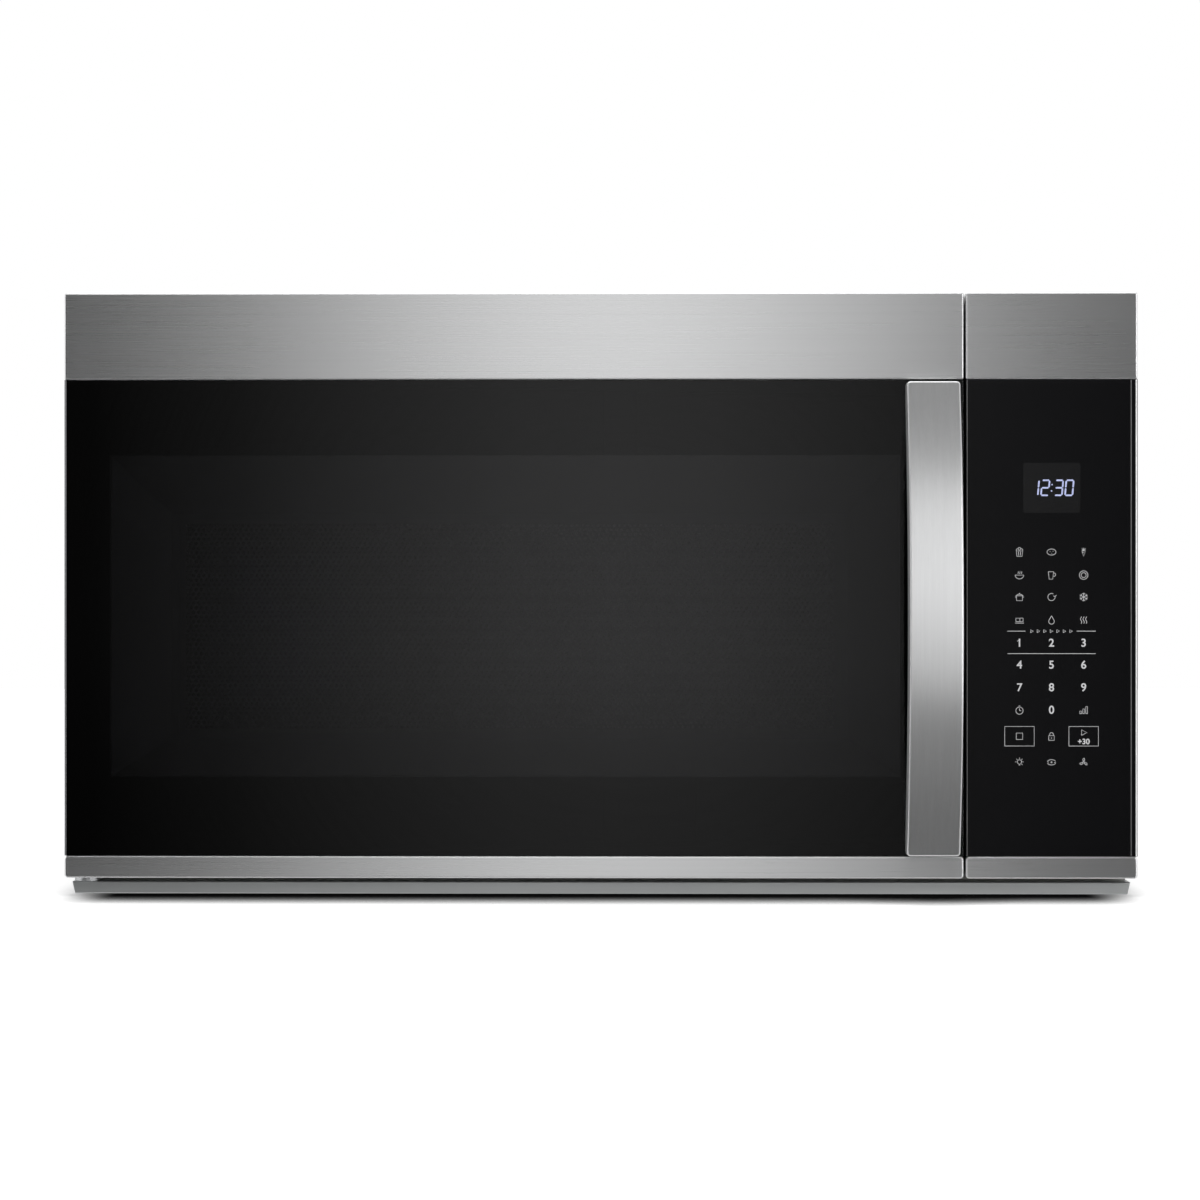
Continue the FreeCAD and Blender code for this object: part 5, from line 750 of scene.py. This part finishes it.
# ---- Charcoal filter ------------------------------------------------------------------------
# Granules of activated charcoal in a net, in a block under the top grille. The grains are packed
# crumbs about 3 mm across, and the net is a fine square weave.
crumbs, net_threads = 330.0, 800.0   # of each on a metre
net_colour, net_height = (0.055, 0.055, 0.057, 1), 0.4
charcoal, tree, output = new_material("charcoal")
place = object_place(tree)
crumb = node(tree, "ShaderNodeTexVoronoi", Vector=place, Scale=crumbs)
weave = node(tree, "ShaderNodeTexVoronoi", {"distance": "CHEBYCHEV"},
             Vector=scaled(tree, place, net_threads), Scale=1.0, Randomness=0.0)
net = spread(tree, weave.outputs["Distance"], 0.40, 0.44, 0.0, 1.0)
# each crumb is painted lighter at its middle and darker towards the gaps between crumbs, as painted
# shade
black = ramp(tree, crumb.outputs["Distance"], ((0.0, 0.05), (0.5, 0.018), (0.9, 0.006)))
colour = mix_colour(tree, net, black, net_colour)
height = math_node(tree, "ADD", product(tree, crumb.outputs["Distance"], -1.0),
                   product(tree, net, net_height))
shader = node(tree, "ShaderNodeBsdfPrincipled", Base_Color=colour,
              Roughness=spread(tree, crumb.outputs["Distance"], 0.0, 0.8, 0.45, 0.85),
              Normal=node(tree, "ShaderNodeBump", Strength=0.9, Distance=1.2 * mm,
                          Height=height).outputs[0])
tree.links.new(shader.outputs[0], output.inputs["Surface"])
dress(charcoal, "charcoal_filter")

# ---- Grease filters -------------------------------------------------------------------------
# Two lift-out pads under the oven: layers of expanded aluminium mesh gripped in a folded rim, with
# a thumb tab riveted at the inner end.
bright_aluminium = finish("bright_aluminium", (0.80, 0.81, 0.82), 0.30, lines=(900, 60, 900),
                          tone=0.06, rough_spread=0.08, bump=0.25, depth=0.01, smudge=0.12,
                          tint=(0.46, 0.40, 0.30), edge=0.3, Metallic=1.0)
mesh_aluminium = finish("mesh_aluminium", (0.74, 0.75, 0.76), 0.34, lines=(500, 500, 500),
                        tone=0.10, rough_spread=0.08, bump=0.3, depth=0.03, smudge=0.25,
                        tint=(0.42, 0.36, 0.26), Metallic=1.0)
filter_rim = 8.0 * mm
rim_fold = 1.4 * mm           # radius of the folded edges
strand_wide, strand_thick = 0.9 * mm, 0.55 * mm
diamond_long, diamond_short = 9.2 * mm, 4.4 * mm
layer_inset, layer_middle = 2.0 * mm, 3.7 * mm   # where the layers of mesh lie in the rim
layer_shifts = (0.0, 0.5, 0.25)                  # of each layer sideways, in diamonds
tab_half, tab_half_long, tab_corner = 8 * mm, 16 * mm, 3 * mm
tab_slot_half, tab_slot_long, tab_slot_corner = 3.2 * mm, 9 * mm, 3.1 * mm
tab_inset = 24 * mm           # from the inner end of the filter


def rounded_loop(x0, y0, x1, y1, radius, steps=5):
    """Points round a rectangle with rounded corners, on a level."""
    loop = []
    for x, y, start in ((x1 - radius, y1 - radius, 0), (x0 + radius, y1 - radius, 90),
                        (x0 + radius, y0 + radius, 180), (x1 - radius, y0 + radius, 270)):
        loop += [(x + radius * math.cos(math.radians(start + 90 * i / steps)),
                  y + radius * math.sin(math.radians(start + 90 * i / steps)))
                 for i in range(steps + 1)]
    return loop


def swept_rim(low, high, width, fold, points, faces):
    """A rim of a rounded square section round a level rectangle."""
    section = []
    far, top = width - fold, high.z - low.z - fold
    for side, up, start in ((far, top, 0), (fold, top, 90), (fold, fold, 180), (far, fold, 270)):
        section += [(side + fold * math.cos(math.radians(start + 90 * i / 3)),
                     up + fold * math.sin(math.radians(start + 90 * i / 3))) for i in range(4)]
    first, around = len(points), None
    for inset, up in section:
        loop = rounded_loop(low.x + inset, low.y + inset, high.x - inset, high.y - inset,
                            max(0.5 * mm, 5 * mm - inset))
        around = len(loop)
        points += [(x, y, low.z + up) for x, y in loop]
    rings = len(section)
    for i in range(rings):
        for j in range(around):
            a, b = first + i * around, first + (i + 1) % rings * around
            faces.append((a + j, a + (j + 1) % around, b + (j + 1) % around, b + j))


def strand(path, points, faces):
    """A ribbon of expanded metal along a path."""
    for n, (x, y, z) in enumerate(path):
        first = len(points)
        for v, w in ((-1, -1), (1, -1), (1, 1), (-1, 1)):
            points.append((x, y + v * strand_wide / 2, z + w * strand_thick / 2))
        if n:
            faces += [(first - 4 + i, first - 4 + (i + 1) % 4, first + (i + 1) % 4, first + i)
                      for i in range(4)]
    faces += [(first, first + 1, first + 2, first + 3)]
    start = first - 4 * (len(path) - 1)
    faces += [(start + 3, start + 2, start + 1, start)]


for side in ("left", "right"):
    low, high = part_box(f"grease_filter_{side}")
    points, faces = [], []
    swept_rim(low, high, filter_rim, rim_fold, points, faces)
    rim = mesh_object(f"grease_filter_{side}_rim", points, faces, bright_aluminium,
                      f"filter_{side}")
    points, faces = [], []
    inset = filter_rim - 1.0 * mm
    for level, shift in zip((low.z + layer_inset, low.z + layer_middle, high.z - layer_inset),
                            layer_shifts):
        y = low.y + inset
        row = 0
        while y < high.y - inset:
            count = int((high.x - low.x - 2 * inset) / (diamond_long / 2))
            path = []
            for i in range(count + 1):
                swing = 0.5 if (i + row) % 2 else -0.5
                path.append((low.x + inset + i * diamond_long / 2,
                             min(max(y + (swing * 0.86 + shift) * diamond_short / 2,
                                     low.y + inset), high.y - inset),
                             level + 0.35 * mm * swing))
            strand(path, points, faces)
            y += diamond_short / 2
            row += 1
    mesh = mesh_object(f"grease_filter_{side}_mesh", points, faces, mesh_aluminium,
                       f"filter_{side}")
    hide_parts(f"grease_filter_{side}")
    inner_x = high.x if side == "left" else low.x
    toward = -1 if side == "left" else 1
    middle_y = (low.y + high.y) / 2
    points, faces = [], []
    plate = rounded_loop(-tab_half, -tab_half_long, tab_half, tab_half_long, tab_corner)
    slot = rounded_loop(-tab_slot_half, -tab_slot_long, tab_slot_half, tab_slot_long,
                        tab_slot_corner)
    around = len(plate)
    for loop, up in ((plate, 1.5), (plate, 0.25), (plate, 0.0), (slot, 0.0), (slot, 1.5)):
        squeeze = 0.985 if up == 0.0 and loop is plate else 1.0
        points += [(inner_x + toward * tab_inset + x * squeeze, middle_y + y * squeeze,
                    low.z + up * mm) for x, y in loop]
    for i in range(5):
        for j in range(around):
            a, b = i * around, (i + 1) % 5 * around
            faces.append((a + j, b + j, b + (j + 1) % around, a + (j + 1) % around))
    tab = mesh_object(f"grease_filter_{side}_tab", points, faces, bright_aluminium,
                      f"filter_{side}")

# ---- Cooktop lamps --------------------------------------------------------------------------
# Two small frosted bulbs in white ceramic sockets behind pressed clear lenses, one on each side of
# the base pan. The bulbs screw in, and the lenses rest in the pan's openings.
lens_glass = pane("lens_glass", (0.92, 0.94, 0.93), 0.08, 1.5, bump=0.6, bright=True,
                  Transmission_Weight=1.0)
dress(lens_glass, "cooktop_lamp_lenses")


def frosted_and_socket(name, along, split, sign):
    """White bulb glass beyond a place on one axis, a ceramic socket before it."""
    material, tree, output = new_material(name)
    place = object_place(tree)
    reach = node(tree, "ShaderNodeSeparateXYZ", Vector=place).outputs[along]
    if sign == 0:
        reach = math_node(tree, "ABSOLUTE", reach)
    bulb = math_node(tree, "LESS_THAN", reach, split) if sign == 0 else math_node(
        tree, "GREATER_THAN", reach, split)
    speck = noise(tree, scaled(tree, place, 1400.0), 3.0)
    marks = node(tree, "ShaderNodeGroup", {"node_tree": handling}, Place=place, Patches=60.0)
    socket = ramp(tree, speck, ((0.3, (0.60, 0.59, 0.55)), (0.7, (0.70, 0.69, 0.65))))
    glass = ramp(tree, marks.outputs["Smudge"],
                 ((0.0, (0.86, 0.86, 0.83)), (1.0, (0.74, 0.73, 0.68))))
    shader = node(tree, "ShaderNodeBsdfPrincipled",
                  Base_Color=mix_colour(tree, bulb, socket, glass),
                  Roughness=spread(tree, bulb, 0.0, 1.0, 0.55, 0.22),
                  Normal=node(tree, "ShaderNodeBump", Strength=0.2, Distance=0.03 * mm,
                              Height=speck).outputs[0])
    tree.links.new(shader.outputs[0], output.inputs["Surface"])
    return material


dress(frosted_and_socket("cooktop_bulbs", "X", 0.291, 0), "cooktop_lamps")

# ---- Oven -----------------------------------------------------------------------------------
# A welded steel box in speckled light grey enamel, a mica cover over the inlet of the microwaves,
# and a glass tray that turns on three plastic rollers over a clear driver.
enamel_tone = ((0.33, (0.47, 0.47, 0.44)), (0.47, (0.60, 0.60, 0.57)), (0.62, (0.64, 0.64, 0.61)),
               (0.72, (0.42, 0.42, 0.40)))
enamel_flecks, enamel_ripples = 620.0, 260.0   # of each on a metre
cooked_share, cooked_colour = 0.25, (0.50, 0.48, 0.42, 1)
enamel, tree, output = new_material("cavity_enamel")
place = object_place(tree)
fleck = noise(tree, scaled(tree, place, enamel_flecks), 2.0)
worn = node(tree, "ShaderNodeGroup", {"node_tree": handling}, Place=place, Patches=5.0)
colour = mix_colour(tree, product(tree, worn.outputs["Smudge"], cooked_share),
                    ramp(tree, fleck, enamel_tone), cooked_colour)
skin = noise(tree, scaled(tree, place, enamel_ripples), 2.0)
shader = node(tree, "ShaderNodeBsdfPrincipled", Base_Color=colour,
              Roughness=spread(tree, skin, 0.3, 0.7, 0.22, 0.34),
              Normal=node(tree, "ShaderNodeBump", Strength=0.25, Distance=0.1 * mm,
                          Height=skin).outputs[0])
tree.links.new(shader.outputs[0], output.inputs["Surface"])
dress(enamel, "oven_cavity")
mica = finish("mica", (0.56, 0.50, 0.38), 0.38, lines=(240, 240, 240), tone=0.22, bump=0.4,
              depth=0.05, smudge=0.4, tint=(0.40, 0.33, 0.22), Coat_Weight=0.3)
dress(mica, "waveguide_cover")
tray_glass = pane("tray_glass", (0.93, 0.96, 0.95), 0.02, 1.46, bright=True,
                  Transmission_Weight=1.0)
tray_low, tray_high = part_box("glass_tray")
tray_x, tray_y = (tray_low.x + tray_high.x) / 2, (tray_low.y + tray_high.y) / 2
tray_radius = (tray_high.x - tray_low.x) / 2
tray_bottom, tray_top = tray_low.z, tray_high.z
tray_floor = tray_bottom + 5.0 * mm
ridges = (38, 62, 86, 110, 130)      # radii of the moulded rings, mm
ridge_half = 4                       # mm
ridge_rise = 0.3 * mm
sunk = tray_floor - 0.5 * mm         # the glass between the rings
profile = [(0.0, sunk)]
for ridge in ridges:
    for step in range(2 * ridge_half + 1):
        swell = math.sin(math.pi * step / (2 * ridge_half))
        profile.append(((ridge - ridge_half + step) * mm, sunk + ridge_rise * swell))
for inset, level, rise in ((10.5, tray_floor, -0.4), (8, tray_floor, 0.6), (4, tray_top, -0.6),
                           (2.6, tray_top, -0.05), (1.2, tray_top, 0), (0.2, tray_top, -0.6),
                           (0, tray_top, -1.4), (0.3, tray_top, -2.4), (9, tray_bottom, 0.6),
                           (11, tray_bottom, 0)):      # the rim, in mm from its edge
    profile.append((tray_radius - inset * mm, level + rise * mm))
profile.append((0.0, tray_bottom))


def turned(name, profile, x, y, material, body, around=96):
    """A piece turned from its profile of radii and heights, closed on its axis."""
    points, faces, rings = [], [], []
    for radius, height in profile:
        if radius < 1e-7:
            rings.append([len(points)])
            points.append((x, y, height))
            continue
        rings.append(list(range(len(points), len(points) + around)))
        points += [(x + radius * math.cos(2 * math.pi * i / around),
                    y + radius * math.sin(2 * math.pi * i / around), height)
                   for i in range(around)]
    for a, b in zip(rings, rings[1:]):
        for i in range(around):
            j = (i + 1) % around
            if len(a) == 1:
                faces.append((a[0], b[i], b[j]))
            elif len(b) == 1:
                faces.append((a[i], b[0], a[j]))
            else:
                faces.append((a[i], b[i], b[j], a[j]))
    made = mesh_object(name, points, faces, material, body)
    made.data.polygons.foreach_set("use_smooth", [True] * len(made.data.polygons))
    return made


tray = turned("glass_tray_moulded", profile, tray_x, tray_y, tray_glass, "turntable")
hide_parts("glass_tray")
driver_plastic = finish("driver_plastic", (0.72, 0.71, 0.66), 0.35, lines=(900, 900, 900),
                        tone=0.04, bump=0.2, depth=0.02, smudge=0.12, edge=0.3,
                        Subsurface_Weight=0.1)
dress(driver_plastic, "turntable_coupler")
roller_plastic = finish("roller_plastic", (0.62, 0.61, 0.57), 0.4, lines=(1100, 1100, 1100),
                        tone=0.05, bump=0.3, depth=0.02, smudge=0.15, edge=0.3)
dress(roller_plastic, "roller_ring", "roller_1", "roller_2", "roller_3")
dress(frosted_and_socket("oven_bulb", "Z", 0.2725, 1), "oven_lamp")

# ---- Turntable motor and cutouts ------------------------------------------------------------
# A flat geared motor in a zinc plated can under the oven, and thermal cutouts in black resin cases
# clipped to the magnetron, the oven roof and the oven wall.
zinc_can = finish("zinc_can", (0.60, 0.60, 0.57), 0.34, lines=(300, 300, 900), tone=0.08,
                  bump=0.2, depth=0.01, smudge=0.15, dust=0.05, edge=0.3, Metallic=1.0)
dress(zinc_can, "turntable_motor", "vent_blower_motor", "cooling_fan_motor")
resin = finish("resin", (0.035, 0.030, 0.028), 0.42, lines=(1500, 1500, 1500), tone=0.1, bump=0.3,
               smudge=0.1, edge=0.3)
dress(resin, "thermal_cutouts", "door_switches")

# ---- Back panel -----------------------------------------------------------------------------
# One galvanised sheet, pressed with a broad shallow panel and two upright ribs that stiffen it,
# with the two slots that hang it on the wall plate.
back_low, back_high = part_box("rear_panel")
sheet_thick = back_high.y - back_low.y
press_depth = 3.0 * mm
slot_half, slot_radius, slot_z, slot_x = 25.0 * mm, 3.0 * mm, 22.0 * mm, 220.0 * mm
press_slope = 4.5 * mm
press_low, press_high = 78 * mm, 388 * mm
panel_half, panel_corner = 262 * mm, 26 * mm
rib_inner, rib_outer, rib_corner = 302 * mm, 344 * mm, 20 * mm


def capsule(x, z, half_long, radius, steps=10):
    """Points round a level slot with round ends, on the wall plane."""
    loop = []
    for end, start in ((1, -90), (-1, 90)):
        for i in range(steps + 1):
            a = math.radians(start + 180 * i / steps)
            loop.append((x + end * (half_long - radius) + radius * math.cos(a),
                         z + radius * math.sin(a)))
    return loop


def closed_edges(sheet, loop, y):
    """A ring of vertices and edges at a depth."""
    corners = [sheet.verts.new((x, y, z)) for x, z in loop]
    return corners, [sheet.edges.new((a, b)) for a, b in zip(corners, corners[1:] + corners[:1])]


def bridge(sheet, a, b):
    """Faces between two rings."""
    for i in range(len(a)):
        j = (i + 1) % len(a)
        sheet.faces.new((a[i], a[j], b[j], b[i]))


sheet = bmesh.new()
edges = closed_edges(sheet, [(back_low.x, back_low.z), (back_high.x, back_low.z),
                             (back_high.x, back_high.z), (back_low.x, back_high.z)],
                     back_high.y)[1]
for x in (-slot_x, slot_x):
    edges += closed_edges(sheet, capsule(x, slot_z, slot_half, slot_radius), back_high.y)[1]


def pressing(x0, z0, x1, z1, radius):
    """A pressed panel: its rim on the wall plane, sloping in to a flat bottom."""
    rings = []
    for inset, y in ((0, 0), (press_slope * 0.2, -press_depth * 0.12),
                     (press_slope * 0.8, -press_depth * 0.88), (press_slope, -press_depth)):
        loop = rounded_loop(x0 + inset, z0 + inset, x1 - inset, z1 - inset,
                            max(radius - inset, 1.5 * mm), 7)
        rings.append(closed_edges(sheet, loop, back_high.y + y))
    for a, b in zip(rings, rings[1:]):
        bridge(sheet, a[0], b[0])
    sheet.faces.new(rings[-1][0])
    return rings[0][1]


edges += pressing(-panel_half, press_low, panel_half, press_high, panel_corner)
edges += pressing(-rib_outer, press_low, -rib_inner, press_high, rib_corner)
edges += pressing(rib_inner, press_low, rib_outer, press_high, rib_corner)
bmesh.ops.triangle_fill(sheet, use_beauty=True, use_dissolve=False, edges=edges)
bmesh.ops.recalc_face_normals(sheet, faces=sheet.faces)
mesh = bpy.data.meshes.new("rear_panel_pressed")
sheet.to_mesh(mesh)
sheet.free()
outward = sum(face.normal.y * face.area for face in mesh.polygons)
if outward < 0:
    mesh.flip_normals()
mesh.materials.append(galvanised)
back = bpy.data.objects.new("rear_panel_pressed", mesh)
bpy.context.scene.collection.objects.link(back)
gauge = back.modifiers.new("gauge", "SOLIDIFY")
gauge.thickness = sheet_thick
gauge.offset = -1.0
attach(back, "chassis")
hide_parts("rear_panel")

# ---- Power parts ----------------------------------------------------------------------------
# The transformer is a stack of steel laminations with lacquered copper windings, the capacitor a
# drawn aluminium can, and the magnetron a bright finned cooler between ferrite magnets.

# zone: 1 inside a box between two corners, 0 outside
zone, given, made = node_group(
    "zone", [("Place", "NodeSocketVector", None), ("Low", "NodeSocketVector", (0, 0, 0)),
             ("High", "NodeSocketVector", (1, 1, 1))], [("Inside", "NodeSocketFloat")])
above = node(zone, "ShaderNodeVectorMath", {"operation": "SUBTRACT"}, n0=given.outputs["Place"],
             n1=given.outputs["Low"]).outputs[0]
below = node(zone, "ShaderNodeVectorMath", {"operation": "SUBTRACT"}, n0=given.outputs["High"],
             n1=given.outputs["Place"]).outputs[0]
least = node(zone, "ShaderNodeVectorMath", {"operation": "MINIMUM"}, n0=above, n1=below).outputs[0]
parts = node(zone, "ShaderNodeSeparateXYZ", Vector=least).outputs
nearest = math_node(zone, "MINIMUM", parts[0], math_node(zone, "MINIMUM", parts[1], parts[2]))
zone.links.new(math_node(zone, "GREATER_THAN", nearest, 0.0), made.inputs["Inside"])


def assembled(name, colour, rough, metal, places, lines=(900, 900, 900), bump=0.3, depth=0.03):
    """A finish for a node of several materials: each place is a box in mm with its own colour,
    roughness and metallic level."""
    material, tree, output = new_material(name)
    place = object_place(tree)
    marks = node(tree, "ShaderNodeGroup", {"node_tree": grain}, Place=place, Lines=lines)
    worn = node(tree, "ShaderNodeGroup", {"node_tree": handling}, Place=place, Patches=20.0)
    tone, dull, bright = (*colour, 1), rough, metal
    for low, high, part_colour, part_rough, part_metal in places:
        inside = node(tree, "ShaderNodeGroup", {"node_tree": zone}, Place=place,
                      Low=[c * mm for c in low], High=[c * mm for c in high]).outputs[0]
        tone = mix_colour(tree, inside, tone, (*part_colour, 1))
        dull = mix_value(tree, inside, dull, part_rough)
        bright = mix_value(tree, inside, bright, part_metal)
    shaded = mix_colour(tree, 1.0, tone,
                        ramp(tree, marks.outputs["Fine"], ((0.3, 0.80), (0.7, 1.0))), "MULTIPLY")
    dusty = mix_colour(tree, product(tree, worn.outputs["Dust"], 0.15), shaded,
                       (0.40, 0.38, 0.35, 1))
    shader = node(tree, "ShaderNodeBsdfPrincipled", Base_Color=dusty, Metallic=bright,
                  Roughness=math_node(tree, "ADD", dull,
                                      product(tree, worn.outputs["Smudge"], 0.08)),
                  Normal=node(tree, "ShaderNodeBump", Strength=bump, Distance=depth * mm,
                              Height=marks.outputs["Fine"]).outputs[0])
    tree.links.new(shader.outputs[0], output.inputs["Surface"])
    return material


copper = (0.46, 0.16, 0.06)
laminations = (0.20, 0.20, 0.20)
dress(assembled("transformer_core", laminations, 0.45, 0.8,
                (((236, -180, 40), (317, -169.05, 108), copper, 0.3, 0.6),
                 ((236, -98.95, 40), (317, -88, 108), copper, 0.3, 0.6)),
                lines=(60, 1500, 60), bump=0.6, depth=0.12), "transformer")
dress(assembled("capacitor_can", (0.66, 0.67, 0.68), 0.32, 1.0,
                (((330, -100, 25), (375, -85, 60), (0.03, 0.03, 0.032), 0.5, 0.0),
                 ((340, -155, 123.2), (364, -113, 135), (0.75, 0.72, 0.6), 0.3, 1.0)),
                lines=(200, 200, 900)), "capacitor")
dress(assembled("magnetron_cooler", (0.74, 0.75, 0.76), 0.3, 1.0,
                (((200, -240, 280), (340, -120, 290), (0.05, 0.05, 0.055), 0.6, 0.0),
                 ((200, -240, 212), (340, -120, 222), (0.05, 0.05, 0.055), 0.6, 0.0)),
                lines=(60, 60, 1500)), "magnetron")

# ---- Cooling fan and blower -----------------------------------------------------------------
# Moulded grey plastic: the fan and its shroud behind the magnetron, and two drum wheels that the
# vent motor turns on one steel shaft.
fan_plastic = finish("fan_plastic", (0.30, 0.31, 0.31), 0.45, lines=(1100, 1100, 1100), tone=0.07,
                     bump=0.4, depth=0.03, smudge=0.12, dust=0.15, edge=0.3)
dress(fan_plastic, "fan_shroud", "vent_blower_wheels", "cooling_fan_blade")

# ---- Boards ---------------------------------------------------------------------------------
# Green boards with black relays, a pale transformer block and tinned pads. The display sits in a
# black holder behind the clock window.
solder_mask = (0.03, 0.15, 0.06)
resin_black = (0.02, 0.02, 0.022)
dress(assembled("control_board_parts", solder_mask, 0.4, 0.0,
                (((280, -365.1, 108), (305, -345, 196), (0.05, 0.10, 0.32), 0.4, 0.0),
                 ((306, -365.1, 108), (350, -345, 150), (0.62, 0.55, 0.20), 0.4, 0.0),
                 ((306, -365.1, 170), (350, -345, 195), resin_black, 0.4, 0.0)),
                lines=(700, 700, 700)), "control_board")
dress(assembled("filter_board_parts", solder_mask, 0.4, 0.0,
                (((245, -95, 340), (285, -73.65, 385), copper, 0.35, 0.5),
                 ((286, -95, 330), (322, -73.65, 362), (0.70, 0.60, 0.15), 0.4, 0.0),
                 ((286, -95, 370), (330, -73.65, 392), (0.10, 0.12, 0.30), 0.4, 0.0)),
                lines=(700, 700, 700)), "filter_board")
dress(resin, "display_module")
